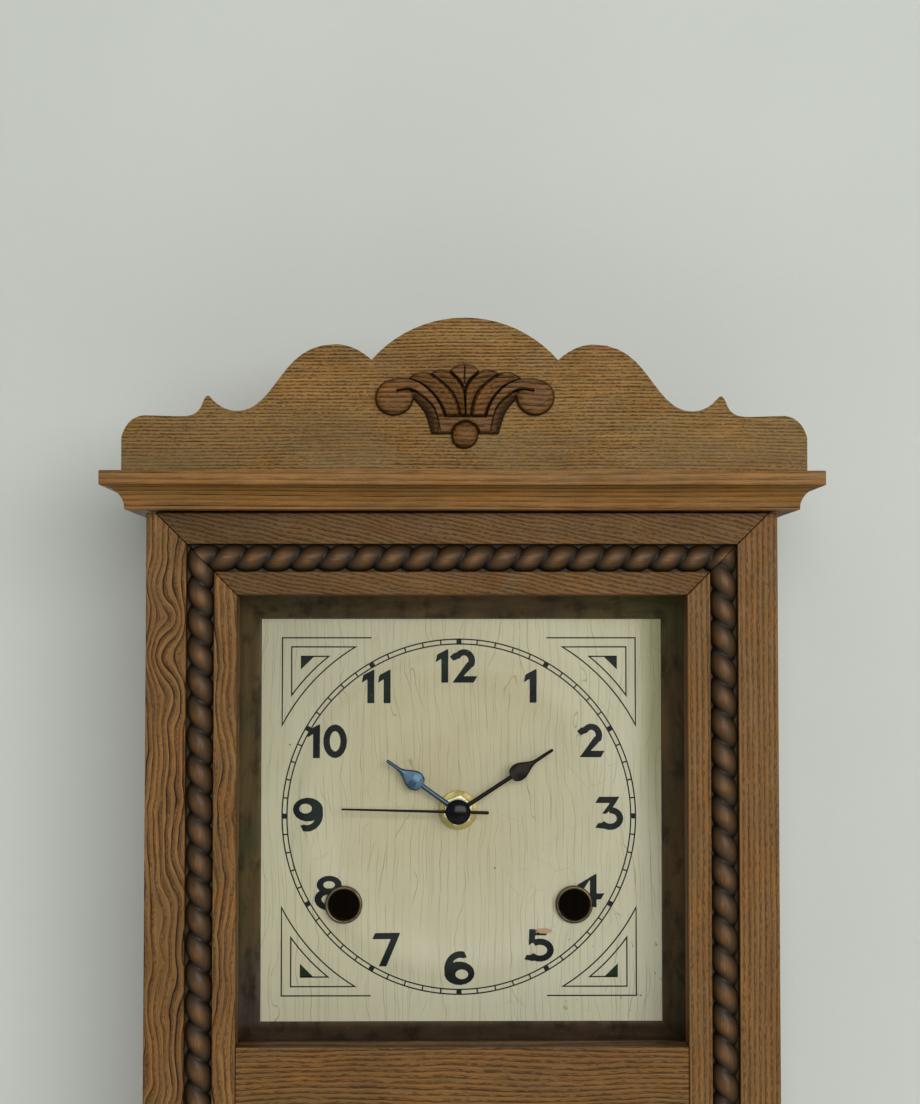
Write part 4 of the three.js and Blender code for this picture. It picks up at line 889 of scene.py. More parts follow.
def carving_field(u, z):
    """Half of the carving at distance u from its middle and height z above the crown's foot.

    Gives (how far inside the outline, height off the board), both in millimetres.
    """
    lobe_edge = spline([(32.6, 0.0), (35.2, 0.8), (37.8, 2.4), (41.6, 6.2), (45, 8)], z)
    rib_edge = spline(
        [(15, 1.6), (23.5, 2.3), (28.6, 3.3), (32.7, 5.2), (36.5, 8.7), (39.4, 12.4),
         (42, 16)], z)
    fan_edge = spline(
        [(15, 6.6), (21.9, 8.0), (24.5, 8.8), (28.6, 10.7), (32.7, 13.8), (36.5, 18.4),
         (38.6, 23.4), (40, 27)], z)
    scroll_low = spline(
        [(8.5, 12), (9.8, 15.6), (10.9, 20.4), (12.4, 25), (14.7, 28.3), (17.3, 30.6),
         (20.4, 32.8), (23.4, 33.8), (27.8, 33.3), (30, 33)], u)
    facet_low = spline(
        [(12, 2), (13.7, 15.4), (14.7, 18.9), (15.9, 22.4), (18.3, 26.4), (20.6, 28.9),
         (22.4, 31.5), (24, 34)], u)

    t1, t2 = (u - 6.2) / 7.5, (u - 13.7) / 9.7
    crest = np.where(
        u < 6.2, 44.4 - 3.0 * (u / 6.2) ** 2.4,
        np.where(u < 13.7, 41.2 - 0.5 * t1 + 4 * 1.1 * t1 * (1 - t1),
                 40.7 - 2.3 * t2 + 4 * 1.3 * t2 * (1 - t2)),
    )
    foot_top = 22.4
    fan = np.minimum(np.minimum(crest - z, z - foot_top), fan_edge - u)
    scroll = np.minimum(
        np.minimum(38.6 - 0.02 * (u - 26) ** 2 - z, np.minimum(u - fan_edge, 30 - u)),
        np.minimum(z - scroll_low, z - 15.6),
    )
    foot = np.minimum(np.minimum(foot_top + 0.4 - z, z - 15.6), 10.6 - u + 0.1 * (z - 15.6))
    facet = np.minimum(np.minimum(scroll_low - z, z - facet_low), np.minimum(z - 15.5, 22.5 - u))
    disc_r = np.hypot((u - 29.2) / 7.9, (z - 30.6) / 7.5)
    disc = (1 - disc_r) * 7.5
    ball_r = np.hypot(u, z - 14.9) / 5.5
    ball = (1 - ball_r) * 5.5

    inner = np.where(u < lobe_edge, 0.0, np.where(u < rib_edge, lobe_edge, rib_edge))
    outer = np.where(u < lobe_edge, lobe_edge, np.where(u < rib_edge, rib_edge, fan_edge))
    t = np.clip((u - inner) / np.maximum(outer - inner, 0.1), 0, 1)
    flute = np.where(
        t < 0.24, smooth(t, -0.02, 0.24), 0.42 + 0.58 * (np.clip(1 - t, 0, 1) / 0.76) ** 1.7)
    flute *= smooth((1 - t) * np.maximum(outer - inner, 0.1), 0.0, 0.55)
    lobe = smooth(lobe_edge - u, 0.0, 0.9) - 0.35 * np.exp(-((u / 0.22) ** 2))
    body = np.where(u < lobe_edge, 0.93 * lobe, flute)
    fan_height = 1.3 + 3.2 * body * smooth(z, foot_top - 0.1, foot_top + 1.3)
    fan_height *= 0.9 + 0.1 * smooth(crest - z, 0.0, 2.5)

    flat = 3.3
    groove = 2.4 * np.exp(-(((z - scroll_low) / 0.42) ** 2)) * (u > 20) * (u < 28.4)
    scroll_height = flat - 1.6 * np.exp(-(((u - fan_edge) / 0.45) ** 2)) - groove
    foot_height = flat + 0.25 - 1.3 * smooth(z, foot_top - 0.1, foot_top + 0.4)
    facet_share = np.clip((z - facet_low) / np.maximum(scroll_low - facet_low, 0.3), 0, 1)
    facet_height = 0.6 + 2.1 * facet_share
    disc_height = 2.0 + 2.0 * np.sqrt(np.clip(1 - disc_r ** 3, 0, 1)) - groove
    ball_height = 1.2 + 3.7 * np.sqrt(np.clip(1 - ball_r ** 2, 0, 1))
    trench = smooth(np.hypot(u, z - 14.9) - 5.5, 0.0, 0.9)

    height = np.zeros_like(u)
    height = np.where(facet > 0, facet_height, height)
    height = np.where(fan > 0, fan_height, height)
    height = np.where(scroll > 0, scroll_height, height)
    height = np.where(foot > 0, foot_height, height)
    height = np.where(disc > 0, np.maximum(disc_height, height * (scroll > 0)), height)
    height *= 0.35 + 0.65 * trench
    height = np.where(ball > 0, ball_height, height)
    inside = np.maximum.reduce([fan, scroll, foot, facet, disc, ball])
    height = height * (0.45 + 0.55 * smooth(inside, 0.0, 0.9))
    return inside, np.clip(height, 0.25, CARVING.front - CARVING.back)


def contour(field, xs, zs):
    """Flat (x, z) points and faces of the part of a grid where field is positive."""
    points, where, faces = [], {}, []

    def vertex(key, x, z):
        if key not in where:
            where[key] = len(points)
            points.append((x, z))
        return where[key]

    inside = field > 0
    cells = (inside[:-1, :-1] | inside[1:, :-1] | inside[:-1, 1:] | inside[1:, 1:])
    for j, i in zip(*np.nonzero(cells)):
        corners = [(j, i), (j, i + 1), (j + 1, i + 1), (j + 1, i)]
        face = []
        for a, b in zip(corners, corners[1:] + corners[:1]):
            if inside[a]:
                face.append(vertex(a, xs[a[1]], zs[a[0]]))
            if inside[a] != inside[b]:
                share = field[a] / (field[a] - field[b])
                share = min(0.98, max(0.02, share))
                key = (a, b) if a < b else (b, a)
                face.append(vertex(
                    key, xs[a[1]] + share * (xs[b[1]] - xs[a[1]]),
                    zs[a[0]] + share * (zs[b[0]] - zs[a[0]])))
        if len(face) > 2:
            faces.append(tuple(face))
    return points, faces


def hand_cut(x, z):
    """Distance from the carving's middle, a little uneven as in hand-cut work."""
    return np.abs(x) + 0.25 * np.sin(z * 0.21 + x * 0.07) * np.sign(x)


def carving():
    """The shell-and-scroll carving on the crown, as one relief."""
    cell = 0.25
    foot = CROWN.z0 + 0.4
    xs = np.arange(-38.0, 38.0 + cell, cell)
    zs = np.arange(8.0, 46.0 + cell, cell)
    flat_x, flat_z = np.meshgrid(xs, zs)
    inside, height = carving_field(hand_cut(flat_x, flat_z), flat_z)
    points, faces = contour(inside, xs, zs)
    at_x, at_z = np.array(points).T
    _, lifted = carving_field(hand_cut(at_x, at_z), at_z)
    # painted shade: the carving darkens where it lies below its blurred height, and on its low
    # facets, as if shaded
    blurred = height.copy()
    for _ in range(6):
        blurred[1:-1, 1:-1] = (
            blurred[:-2, 1:-1] + blurred[2:, 1:-1] + blurred[1:-1, :-2] + blurred[1:-1, 2:]
            + 2 * blurred[1:-1, 1:-1]) / 6
    column = np.clip(((at_x - xs[0]) / cell).round().astype(int), 0, len(xs) - 1)
    row = np.clip(((at_z - zs[0]) / cell).round().astype(int), 0, len(zs) - 1)
    hollow_shade = np.clip((blurred[row, column] - lifted) * 2.0 + 0.03, 0, 1)
    hollow_shade = np.maximum(hollow_shade, 0.85 * (1 - smooth(lifted, 1.0, 3.9)))

    depth = dict(zip(points, CARVING.back + lifted))
    sheet, shell = thick_sheet(points, faces, lambda x, z: depth[(x, z)], 0.0)
    count = len(points)
    solid = [(x + CROWN.x, d, z + foot) for x, d, z in sheet[:count]]
    solid += [(x + CROWN.x, CARVING.back, z + foot) for x, _, z in sheet[count:]]
    obj = put("crown_carving_relief", solid, shell, "case", "carved", "carved_wood",
              ("crown_carving",), 50, merge=False)
    layer(obj.data, "crevice_shade", np.concatenate([hollow_shade, np.ones(count)]))


def glass_beads():
    """The thin strips that hold each pane in its rebate from behind."""
    half = DOOR_HALF - FRAME_WIDTH + REBATE
    edge, inner, end, width = 0.1, 4.4, 4.6, 4.3
    for name, node in (("upper", "glass_upper"), ("lower", "glass_lower")):
        pane = Place(node)
        low, high = pane.z0 - 0.3, pane.z1 + 0.3
        for side, box in (
            ("left", (-half + edge, -half + inner, low, high)),
            ("right", (half - inner, half - edge, low, high)),
            ("top", (-half + end, half - end, high - width, high)),
            ("bottom", (-half + end, half - end, low, low + width)),
        ):
            bead(f"glass_bead_{name}_{side}", box)


def bead(name, box):
    """A strip with a rounded back, between the given x and z, behind the pane."""
    x0, x1, z0, z1 = box
    section = [(0.0, 93.2), (0.0, 91.2), (0.25, 90.8), (0.75, 90.8), (1.0, 91.2), (1.0, 93.2)]
    upright = z1 - z0 > x1 - x0
    points = []
    for end in (0, 1):
        for share, depth in section:
            if upright:
                points.append((x0 + share * (x1 - x0), depth, z1 if end else z0))
            else:
                points.append((x1 if end else x0, depth, z0 + share * (z1 - z0)))
    count = len(section)
    faces = [(i, (i + 1) % count, (i + 1) % count + count, i + count) for i in range(count)]
    faces += [tuple(range(count)), tuple(range(count, 2 * count))]
    put(name, points, faces, "door", "case", "door_wood")


def screw(name, place, facing, body, finish, slot, radius):
    """A slotted, slightly domed screw head; facing is the direction its slot looks."""
    rise = radius * 0.32
    profile = [(0, -rise), (radius, -rise)] + [
        (radius * math.cos(a), rise * math.sin(a)) for a in np.linspace(0.15, 1.35, 5)
    ] + [(0, rise)]
    points, faces = lathe_mesh(profile, 28)
    turn = Vector((0, 0, 1)).rotation_difference(Vector(facing)).to_matrix()
    spin = Matrix.Rotation(math.radians(hash_angle(name)), 3, "Z")
    slot_half = (radius * 1.2, radius * 0.16, rise)
    box = [Vector((sx * slot_half[0], sy * slot_half[1], rise * 1.2 + sz * slot_half[2] * 0.75))
           for sx in (-1, 1) for sy in (-1, 1) for sz in (-1, 1)]
    box_faces = [(0, 1, 3, 2), (4, 6, 7, 5), (0, 4, 5, 1), (2, 3, 7, 6), (0, 2, 6, 4),
                 (1, 5, 7, 3)]

    def placed(p):
        q = turn @ (spin @ Vector(p))
        return (place[0] + q.x, place[1] - q.y, place[2] + q.z)

    slot_cut = ([placed(p) for p in box], box_faces)
    put(name, [placed(p) for p in points], faces, body, finish, slot, holes=[slot_cut])


def hash_angle(name):
    """A slot angle that differs from screw to screw but not from run to run."""
    return sum(ord(c) * (i + 3) for i, c in enumerate(name)) * 37 % 180


def screws():
    """Three screws in each leaf of the hinges, and two in the hanger plate."""
    for body, x, depth, radius in (("case", -128.35, 78, 1.9), ("door", -129.6, 99.5, 1.7)):
        for level in ("upper", "lower"):
            leaf = Place(f"hinge_{body}_{level}")
            for i, share in enumerate((0.18, 0.5, 0.82)):
                z = leaf.z0 + share * (leaf.z1 - leaf.z0)
                screw(f"hinge_{body}_{level}_screw_{i + 1}", (x, depth, z), (-1, 0, 0), body,
                      "old_brass", "hinge_brass", radius)
    for i, x in enumerate((-15, 15)):
        screw(f"hanger_screw_{i + 1}", (x, 1.0, -4), (0, 1, 0), "case", "steel",
              "hanger_steel", 2.1)


# ---------------- the dial


def dial_face():
    """The square embossed dial with its three holes."""
    steps = 192
    half = (DIAL.x1 - DIAL.x0) / 2
    radii = [0, 12, 24, 36, 46]
    radii += list(np.linspace(RELIEF_INNER, RELIEF_CREST, 12))
    radii += list(np.linspace(RELIEF_CREST, RELIEF_OUTER, 9))[1:] + [RELIEF_OUTER + 2]
    turns = [(math.cos(a), math.sin(a)) for a in [2 * math.pi * i / steps for i in range(steps)]]
    flat = [(0.0, 0.0)] + [(radius * c, radius * s) for radius in radii[1:] for c, s in turns]
    for share in (0.3, 0.65, 1.0):
        for c, s in turns:
            edge = half / max(abs(c), abs(s))
            reach = radii[-1] + share * (edge - radii[-1])
            flat.append((reach * c, reach * s))
    faces = [(0, 1 + i, 1 + (i + 1) % steps) for i in range(steps)]
    for ring in range(1, len(flat) - steps, steps):
        for i in range(steps):
            a, b = ring + i, ring + (i + 1) % steps
            faces.append((a, a + steps, b + steps, b))
    points, shell = thick_sheet(flat, faces, lambda x, z: DIAL_FACE + relief(x, z), 0.8)
    placed = [(DIAL.x + x, d, DIAL.z + z) for x, d, z in points]
    holes = [
        turned([(0, 70), (radius, 70), (radius, 90), (0, 90)], x, z, 64)
        for x, z, radius in (
            (HAND_X, HAND_Z, CENTRE_HOLE),
            (DIAL.x - WINDING[0], DIAL.z + WINDING[1], WINDING_HOLE),
            (DIAL.x + WINDING[0], DIAL.z + WINDING[1], WINDING_HOLE),
        )
    ]
    put("dial_face", placed, shell, "case", "dial", "dial_paint", ("dial_plate",), 50,
        holes=holes)


# how far the ink stands off the dial, and its thickness
INK_LIFT = 0.05
INK_THICK = 0.09
# how far the ink keeps off the winding holes
INK_EDGE = 0.15


def print_ink(name, flat, faces):
    """A closed layer of ink lying on the dial's relief."""
    flat = [(x * PRINT_SCALE, z * PRINT_SCALE) for x, z in flat]
    points, shell = thick_sheet(
        flat, faces, lambda x, z: DIAL_FACE + relief(x, z) + INK_LIFT, INK_THICK)
    placed = [(DIAL.x + x, d, DIAL.z + z) for x, d, z in points]
    put(name, placed, shell, "case", "ink", "dial_paint", sharp=80)


def arc_points(cx, cz, rx, rz, start, end, count=18):
    """Points on an ellipse between two angles in degrees."""
    return [
        (cx + rx * math.cos(math.radians(a)), cz + rz * math.sin(math.radians(a)))
        for a in np.linspace(start, end, count)
    ]


def bowl(cx, cz, outer, inner, start, end, shift=(0, 0)):
    """An elliptical band: outer and inner are (rx, rz), inner may sit off centre."""
    far = arc_points(cx, cz, *outer, start, end)
    near = arc_points(cx + shift[0], cz + shift[1], *inner, end, start)
    return far + near


ONE = [[(0, 0), (3, 0), (3, 14.6), (-1.8, 12.1), (-2.5, 8.7), (0, 10.3)]]
TWO = [
    bowl(6.2, 9.4, (4.75, 5.0), (1.9, 2.35), 158, -32),
    [(10.55, 7.6), (7.6, 8.9), (1.2, 0), (4.6, 0), (5.9, 2.8)],
    [(1.2, 0), (10.3, 0), (11.9, 2.8), (3.3, 2.8)],
    [(0.0, 11.2), (1.6, 9.4), (4.4, 10.6), (2.2, 13.0)],
]
THREE = [
    [(0, 11.2), (1.7, 13.9), (10.5, 13.9), (8.8, 11.2)],
    [(10.5, 13.9), (7.1, 8.6), (4.6, 6.6), (2.9, 6.6), (6.4, 11.3)],
    bowl(6.4, 4.6, (5.7, 4.9), (2.9, 2.2), 95, -150),
    [(0.0, 0.6), (1.3, 2.7), (4.3, 2.5), (4.0, 0.2)],
]
FOUR = [
    [(-0.4, 0), (2.6, 0), (2.6, 14.5), (-0.2, 12.9)],
    [(2.6, 14.5), (-5.6, 9.6), (-7.6, 5.8), (-7.6, 3.3), (-4.6, 3.3), (-4.2, 5.8), (-0.2, 12.0)],
    [(-7.6, 3.3), (4.4, 3.3), (6.1, 5.9), (-7.6, 5.9)],
]
FIVE = [
    [(2.3, 11.2), (2.3, 13.8), (11.0, 13.9), (9.5, 11.2)],
    [(2.0, 6.9), (2.3, 13.8), (5.0, 13.8), (4.7, 8.8)],
    bowl(6.9, 4.9, (5.95, 5.0), (3.1, 2.3), 128, -150),
    [(0.1, 1.0), (1.2, 3.0), (4.4, 2.7), (4.2, 0.1)],
]
SIX = [
    bowl(6.5, 5.1, (6.5, 5.1), (2.75, 2.1), 0, 360, (1.0, -0.4)),
    bowl(6.9, 7.0, (6.9, 7.5), (4.0, 4.7), 74, 190),
    [(8.5, 14.3), (9.7, 11.9), (7.6, 11.4), (6.6, 14.5)],
]
SEVEN = [
    [(0, 11.7), (1.2, 14.3), (12.0, 14.3), (10.6, 11.7)],
    [(12.0, 14.3), (6.0, 0), (2.8, 0), (8.2, 12.4)],
]
EIGHT = [
    bowl(6.4, 10.8, (5.4, 3.9), (2.5, 1.6), 0, 360),
    bowl(6.4, 4.6, (6.4, 4.8), (3.3, 2.1), 0, 360),
]
NINE = [[(13.0 - x, 14.6 - z) for x, z in loop] for loop in SIX]
ZERO = [bowl(5.1, 7.2, (5.1, 7.25), (2.3, 4.35), 0, 360)]

# each numeral's left foot, measured from the dial's centre
NUMERALS = [
    (ONE, -7.6, 57.2), (TWO, -4.0, 57.2), (ONE, 30.4, 48.6), (TWO, 50.7, 25.2),
    (THREE, 58.5, -5.6), (FOUR, 56.4, -38.9), (FIVE, 27.8, -62.0), (SIX, -6.3, -72.0),
    (SEVEN, -37.1, -64.0), (EIGHT, -62.0, -40.0), (NINE, -71.3, -6.6), (ONE, -62.7, 24.9),
    (ZERO, -58.3, 24.9), (ONE, -39.4, 48.4), (ONE, -32.4, 48.4),
]


def loop_field(loop, x, z):
    """Signed distance of sample points to a closed loop, positive inside."""
    near = np.full(x.shape, 1e9)
    inside = np.zeros(x.shape, bool)
    for (ax, az), (bx, bz) in zip(loop, loop[1:] + loop[:1]):
        ex, ez = bx - ax, bz - az
        t = np.clip(((x - ax) * ex + (z - az) * ez) / max(ex * ex + ez * ez, 1e-12), 0, 1)
        near = np.minimum(near, np.hypot(x - ax - t * ex, z - az - t * ez))
        crosses = (az > z) != (bz > z)
        if abs(ez) > 1e-12:
            inside ^= crosses & (x < ax + (z - az) / ez * ex)
    return np.where(inside, near, -near)


def numerals():
    """All the hour numerals as one layer of ink."""
    cell = 0.32
    flat, faces = [], []
    for loops, left, foot in NUMERALS:
        xs = np.arange(-8.5, 15.0, cell)
        zs = np.arange(-1.5, 16.5, cell)
        x, z = np.meshgrid(xs, zs)
        field = np.maximum.reduce([loop_field(loop, x, z) for loop in loops])
        for hole_x in (-WINDING[0], WINDING[0]):
            away = np.hypot(
                (x + left) * PRINT_SCALE - hole_x, (z + foot) * PRINT_SCALE - WINDING[1])
            field = np.minimum(field, away - WINDING_HOLE - INK_EDGE)
        points, cells = contour(field, xs, zs)
        start = len(flat)
        flat += [(px + left, pz + foot) for px, pz in points]
        faces += [tuple(i + start for i in face) for face in cells]
    print_ink("dial_numerals", flat, faces)


# radii of the minute track, and the width of its printed lines
RING_OUTER, RING_INNER = 76.2, 73.55
LINE = 0.58
# half the widths, in degrees, of the track's block at an hour and its stroke at a minute
HOUR_BLOCK, MINUTE_STROKE = 0.85, 0.23
# how far outwards the corner ornaments lie of the places given for them
ORNAMENT_SHIFT = 0.7


def ring_band(flat, faces, inner, outer, start, end, steps):
    """Adds a band between two radii and two angles in degrees."""
    base = len(flat)
    for i in range(steps + 1):
        angle = math.radians(start + (end - start) * i / steps)
        for radius in (inner, (inner + outer) / 2, outer):
            flat.append((radius * math.sin(angle), radius * math.cos(angle)))
    for i in range(steps):
        for k in (0, 1):
            a = base + i * 3 + k
            faces.append((a, a + 3, a + 4, a + 1))


def minute_track():
    """Two fine rings, sixty strokes between them and a solid block at each hour."""
    flat, faces = [], []
    ring_band(flat, faces, RING_OUTER - LINE, RING_OUTER, 0, 360, 360)
    ring_band(flat, faces, RING_INNER, RING_INNER + LINE, 0, 360, 360)
    for minute in range(60):
        half = HOUR_BLOCK if minute % 5 == 0 else MINUTE_STROKE
        middle = minute * 6
        ring_band(flat, faces, RING_INNER + LINE + 0.01, RING_OUTER - LINE - 0.01,
                  middle - half, middle + half, 2)
    print_ink("dial_minute_track", flat, faces)


def stroke(flat, faces, path, width):
    """Adds a mitred line of the given width along an open path."""
    base = len(flat)
    for i, (x, z) in enumerate(path):
        before = Vector(path[max(i - 1, 0)])
        after = Vector(path[min(i + 1, len(path) - 1)])
        here = Vector((x, z))
        into = (here - before).normalized() if i else (after - here).normalized()
        out = (after - here).normalized() if i < len(path) - 1 else into
        normal = Vector((-into.y - out.y, into.x + out.x)).normalized()
        reach = width / 2 / max(0.3, normal.dot(Vector((-into.y, into.x))))
        flat.append((x + normal.x * reach, z + normal.y * reach))
        flat.append((x - normal.x * reach, z - normal.y * reach))
    for i in range(len(path) - 1):
        a = base + 2 * i
        faces.append((a, a + 1, a + 3, a + 2))


def corner_ornaments():
    """The angular spiral of fine lines in each corner, ending in a small solid triangle."""
    outer_reach, middle_reach = 84.8, 88.1
    outer_arc = [
        (outer_reach * math.cos(a), outer_reach * math.sin(a))
        for a in np.linspace(math.atan2(39.0, -75.3), math.atan2(72.6, -43.9), 14)
    ]
    middle_arc = [
        (middle_reach * math.cos(a), middle_reach * math.sin(a))
        for a in np.linspace(math.atan2(51.8, -71.3), math.atan2(68.5, -55.4), 8)
    ]
    path = [(-37.0, 76.5), (-56.0, 76.5), (-75.3, 76.5), (-75.3, 58.0)]
    path += outer_arc + [(-57.0, 72.6), (-71.3, 72.6), (-71.3, 62.0)]
    path += middle_arc + [(-67.4, 68.5)]
    solid = [(-67.4, 68.5), (-61.6, 68.5), (-67.4, 62.8)]
    flat, faces = [], []
    for sx in (1, -1):
        for sz in (1, -1):
            stroke(flat, faces, [(sx * (x - ORNAMENT_SHIFT), sz * z) for x, z in path], LINE)
            base = len(flat)
            flat += [(sx * (x - ORNAMENT_SHIFT), sz * z) for x, z in solid]
            faces.append((base, base + 1, base + 2))
    print_ink("dial_corner_lines", flat, faces)


def bezel():
    """The square bezel: a hollow slope of sheet brass with mitred corners."""
    inner, outer = BEZEL_INNER, (BEZEL.x1 - BEZEL.x0) / 2
    back, front = BEZEL.back, BEZEL.front
    slope = [
        (inner + 0.35 + (outer - 1.3 - inner - 0.35) * t,
         back + 1.3 + (front - back - 1.3) * t ** 1.25)
        for t in [i / 12 for i in range(13)]
    ]
    section = [(inner, back), (inner, back + 0.9), (inner + 0.12, back + 1.2)] + slope
    section += [(outer - 0.6, front), (outer - 0.15, front - 0.15), (outer, front - 0.6)]
    section += [(outer, back), (outer - 1, back), (outer - 1, front - 1.6), (inner + 1, back)]
    corners = ((-1, 1), (1, 1), (1, -1), (-1, -1))
    points = [
        (BEZEL.x + sx * half, depth, BEZEL.z + sz * half)
        for sx, sz in corners for half, depth in section
    ]
    count = len(section)
    faces = []
    for c in range(4):
        for i in range(count):
            j = (i + 1) % count
            n = (c + 1) % 4
            faces.append((c * count + i, c * count + j, n * count + j, n * count + i))
    put("dial_bezel_sheet", points, faces, "case", "bezel", "bezel_brass", ("dial_bezel",), 25)


def dial_fittings():
    """Eyelets round the winding holes, and the washer and gasket of the hands' bushing."""
    for side, sign in (("left", -1), ("right", 1)):
        x, z = DIAL.x + sign * WINDING[0], DIAL.z + WINDING[1]
        profile = [(6.5, 76.4), (6.5, 80.7)]
        profile += [(7.2 - 0.7 * math.cos(a), 80.9 + 0.7 * math.sin(a))
                    for a in np.linspace(0.1, math.pi - 0.1, 9)]
        profile += [(7.9, 80.6), (7.9, 76.4), (6.5, 76.4)]
        lathe(f"winding_eyelet_{side}", profile, x, z, "case", "grommet", "grommet_brass",
              (f"winding_grommet_{side}",))
    lathe("bushing_washer", ring_profile(4.3, 8.3, 78.2, 79.0, 0.22), HAND_X, HAND_Z, "case",
          "washer", "nut_brass", ("dial_washer",), 96)
    lathe("bushing_gasket", ring_profile(4.4, 10.5, 75.8, 77.0), HAND_X, HAND_Z, "case",
          "rubber", "movement_plastic")


# ---------------- hands and pendulum


# the hands' turns clockwise from twelve in degrees, and the depths of their backs
HOUR_TURN, MINUTE_TURN, SECOND_TURN = 305.4, 57.0, 271.4
HOUR_BACK, MINUTE_BACK, SECOND_BACK = 84.0, 86.1, 88.2


def blade(name, stations, degrees, back, thick, body, finish, slot, replaces, hub=None):
    """A hand from (distance out, half width) stations, chamfered and a little crowned.

    hub is the inner and outer radius of the ring it is fixed to.
    """
    turn = math.radians(degrees)
    edge = 0.58
    rows = []
    for out, half in stations:
        flat = max(half - edge, half * 0.35)
        rows.append([
            (out, -half, back), (out, -half, back + thick * 0.45),
            (out, -flat, back + thick * 0.93), (out, 0, back + thick),
            (out, flat, back + thick * 0.93), (out, half, back + thick * 0.45),
            (out, half, back),
        ])
    points = []
    for row in rows:
        for out, side, depth in row:
            x = HAND_X + out * math.sin(turn) + side * math.cos(turn)
            z = HAND_Z + out * math.cos(turn) - side * math.sin(turn)
            points.append((x, depth, z))
    faces = tube_faces(len(rows), len(rows[0]))
    obj = put(name, points, faces, body, finish, slot, replaces, 30)
    # painted shade along the hand's chamfered edges, fading to none on its ridge
    layer(obj.data, "rim", [1, 1, 0.25, 0, 0.25, 1, 1] * len(stations))
    if hub is not None:
        profile = ring_profile(*hub, back - 0.02, back + thick + 0.04)
        lathe(f"{name}_hub", profile, HAND_X, HAND_Z, body, finish, slot, (), 64)


def spade(reach, leaf_start, widest, neck, leaf_half, shaft_half, hub):
    """Stations of a spade hand, from its hub out to its blunt point."""
    tip = 0.65
    stations = [(hub - 0.6, shaft_half), (leaf_start - 0.6, shaft_half * 0.95)]
    for i in range(10):
        angle = (i / 9) * math.pi / 2
        stations.append((
            widest - (widest - leaf_start) * math.cos(angle),
            shaft_half * 0.95 + (leaf_half - shaft_half * 0.95) * math.sin(angle) ** 0.9,
        ))
    for i in range(1, 17):
        share = i / 16
        fullness = 0.5 + 0.5 * math.cos(math.pi * share ** 0.92)
        stations.append((
            widest + (neck - widest) * share, tip + 0.1 + (leaf_half - tip - 0.1) * fullness))
    stations += [(reach - 0.7, tip), (reach - 0.3, tip * 0.85), (reach, tip * 0.45)]
    return stations


def hands():
    """The three hands, each on its own arbor, and the cap of the seconds hand."""
    hour = spade(reach=36.9, leaf_start=18.6, widest=22.5, neck=31.2, leaf_half=4.1,
                 shaft_half=1.0, hub=4.4)
    blade("hour_hand_blade", hour, HOUR_TURN, HOUR_BACK, 0.7, "hour_pipe", "blue_steel",
          "hand_steel", ("hour_hand",), (2.8, 4.6))
    minute = spade(reach=47.9, leaf_start=26.8, widest=30.7, neck=39.5, leaf_half=3.7,
                   shaft_half=0.9, hub=3.8)
    blade("minute_hand_blade", minute, MINUTE_TURN, MINUTE_BACK, 0.7, "centre_arbor", "black",
          "hand_black", ("minute_hand",), (1.7, 4.0))
    needle = [(-13.0, 0.45), (-12.7, 0.66), (-12.2, 0.72), (-2.0, 0.66), (0, 0.62), (20, 0.5),
              (48.6, 0.38), (49.0, 0.2)]
    blade("second_hand_needle", needle, SECOND_TURN, SECOND_BACK, 0.5, "second_arbor", "black",
          "hand_black", ("second_hand",))
    dome = [(0, 88.3), (5.1, 88.3), (5.3, 88.5), (5.3, 88.9)]
    dome += [(5.3 * math.cos(a), 88.9 + 2.0 * math.sin(a)) for a in np.linspace(0.12, 1.45, 9)]
    dome += [(0, 90.9)]
    lathe("second_hand_cap", dome, HAND_X, HAND_Z, "second_arbor", "cap", "hand_black")


def pendulum_pieces():
    """The lens-shaped bob with its spun rim, and the knurled rating nut below it."""
    bob = Place("pendulum_bob")
    radius = (bob.x1 - bob.x0) / 2
    face = bob.front - 5.9
    profile = [(0, face - 0.8), (radius - 1.2, face - 0.8), (radius, face), (radius, face + 0.9),
               (radius - 0.5, face + 1.5)]
    profile += [
        (r, face + 1.5 + 4.3 * (1 - (r / (radius - 0.5)) ** 2.2)) for r in
        np.linspace(radius - 1.6, 1.5, 16)
    ] + [(0, face + 5.85)]
    lathe("pendulum_bob_lens", profile, bob.x, bob.z, "pendulum", "brass", "pendulum_brass",
          ("pendulum_bob",), 128)
    nut = Place("rating_nut")
    points, faces = lathe_mesh(
        [(1.0, nut.z0), (3.8, nut.z0), (4.15, nut.z0 + 0.35), (4.15, nut.z1 - 0.35),
         (3.8, nut.z1), (1.0, nut.z1), (1.0, nut.z0)], 80)
    depth = (nut.back + nut.front) / 2
    placed = []
    for i, (px, py, z) in enumerate(points):
        knurl = 0.95 if i % 2 and nut.z0 + 0.1 < z < nut.z1 - 0.1 else 1.0
        far = math.hypot(px, py) > 2
        placed.append((nut.x + px * (knurl if far else 1), depth + py * (knurl if far else 1), z))
    put("rating_nut_knurled", placed, faces, "pendulum", "brass", "pendulum_brass",
        ("rating_nut",), 20)


# ---------------- stage, lights, camera


STAGE_HALF = 3.0
FLOOR_Z = -1.3
WALL_TOP = 1.7
WALL_Y = 0.002


def plane(name, corners, material):
    """One flat piece of the stage, given in metres."""
    mesh = bpy.data.meshes.new(name)
    mesh.from_pydata(corners, [], [(0, 1, 2, 3)])
    mesh.materials.append(material)
    obj = add_object(name, mesh)
    return obj


def stage():
    """The wall the clock hangs on, and a floor far below."""
    paint = wall_paint()
    wall = plane("stage_wall", [
        (-STAGE_HALF, WALL_Y, FLOOR_Z), (STAGE_HALF, WALL_Y, FLOOR_Z),
        (STAGE_HALF, WALL_Y, WALL_TOP), (-STAGE_HALF, WALL_Y, WALL_TOP),
    ], paint)
    unlit(wall)
    plane("stage_floor", [
        (-STAGE_HALF, -4, FLOOR_Z), (STAGE_HALF, -4, FLOOR_Z),
        (STAGE_HALF, 3, FLOOR_Z), (-STAGE_HALF, 3, FLOOR_Z),
    ], paint)


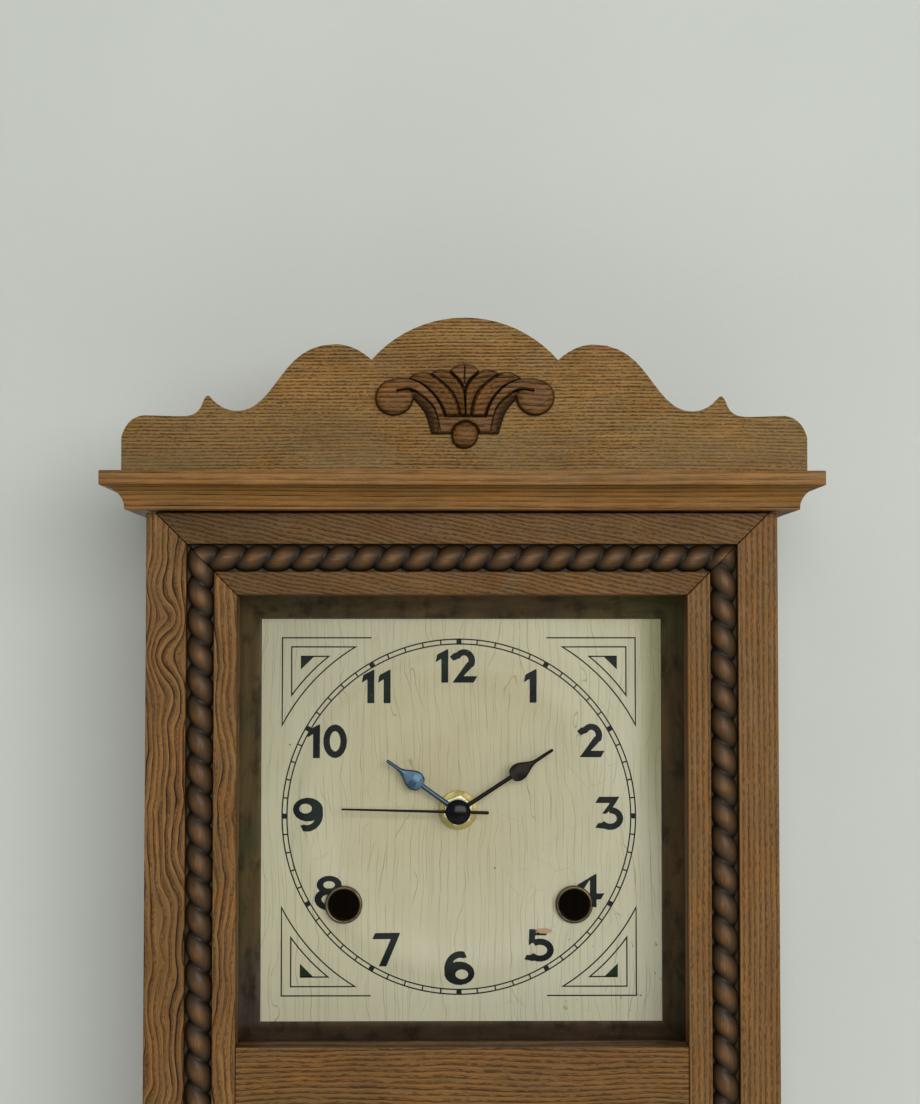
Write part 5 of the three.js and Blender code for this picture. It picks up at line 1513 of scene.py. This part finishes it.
def area_light(name, place, size, power, colour):
    """A soft rectangular light, aimed at the clock's middle."""
    data = bpy.data.lights.new(name, "AREA")
    data.shape = "RECTANGLE"
    data.size, data.size_y = size
    data.energy = power
    data.color = colour
    obj = add_object(name, data)
    obj.location = place
    aim = Vector((0, -0.05, -0.12)) - Vector(place)
    obj.rotation_euler = aim.to_track_quat("-Z", "Y").to_euler()


# the room's brightness behind the viewer and all round
ROOM_DIM, ROOM_BRIGHT = 0.06, 0.30


def room_light():
    """A pale room all round, dark where the viewer stands in front of the clock."""
    world = bpy.data.worlds.new("room_light")
    world.use_nodes = True
    nodes, links = world.node_tree.nodes, world.node_tree.links
    split = nodes.new("ShaderNodeSeparateXYZ")
    links.new(nodes.new("ShaderNodeTexCoord").outputs["Generated"], split.inputs[0])
    front = nodes.new("ShaderNodeMapRange")
    front.interpolation_type = "SMOOTHSTEP"
    links.new(split.outputs["Y"], front.inputs["Value"])
    for name, value in (
        ("From Min", -0.97), ("From Max", -0.80), ("To Min", ROOM_DIM), ("To Max", ROOM_BRIGHT)
    ):
        front.inputs[name].default_value = value
    back = nodes["Background"]
    back.inputs[0].default_value = (0.84, 0.87, 0.86, 1)
    links.new(front.outputs["Result"], back.inputs[1])
    bpy.context.scene.world = world


def lights():
    """A window behind the camera, a weak light behind the wall and the room itself."""
    area_light("window", (0.66, -2.95, 0.42), (2.6, 1.25), 62, (1.0, 0.995, 0.98))
    area_light("back_fill", (-0.4, 2.4, 0.6), (1.6, 1.6), 22, (0.95, 0.98, 1.0))
    room_light()
    bpy.context.scene.view_settings.view_transform = "Standard"


IMAGE_HEIGHT = 1104      # pixels
FOCAL_LENGTH = 2010      # pixels of that image
SENSOR = 36              # millimetres, along the image's longer side


def camera():
    """The photograph's view: straight on, cut off just below the upper pane."""
    data = bpy.data.cameras.new("camera")
    data.lens = FOCAL_LENGTH / IMAGE_HEIGHT * SENSOR
    data.sensor_width = SENSOR
    data.clip_start, data.clip_end = 0.05, 20
    obj = add_object("camera", data)
    obj.location = (-0.0095, -0.9368, -0.041)
    obj.rotation_euler = (math.pi / 2 + 0.042, 0.0, -0.0103)
    bpy.context.scene.camera = obj


camera()
stage()
lights()
dress_cad_nodes()
ropes()
carving()
glass_beads()
screws()
dial_face()
numerals()
minute_track()
corner_ornaments()
bezel()
dial_fittings()
hands()
pendulum_pieces()

bpy.context.view_layer.update()
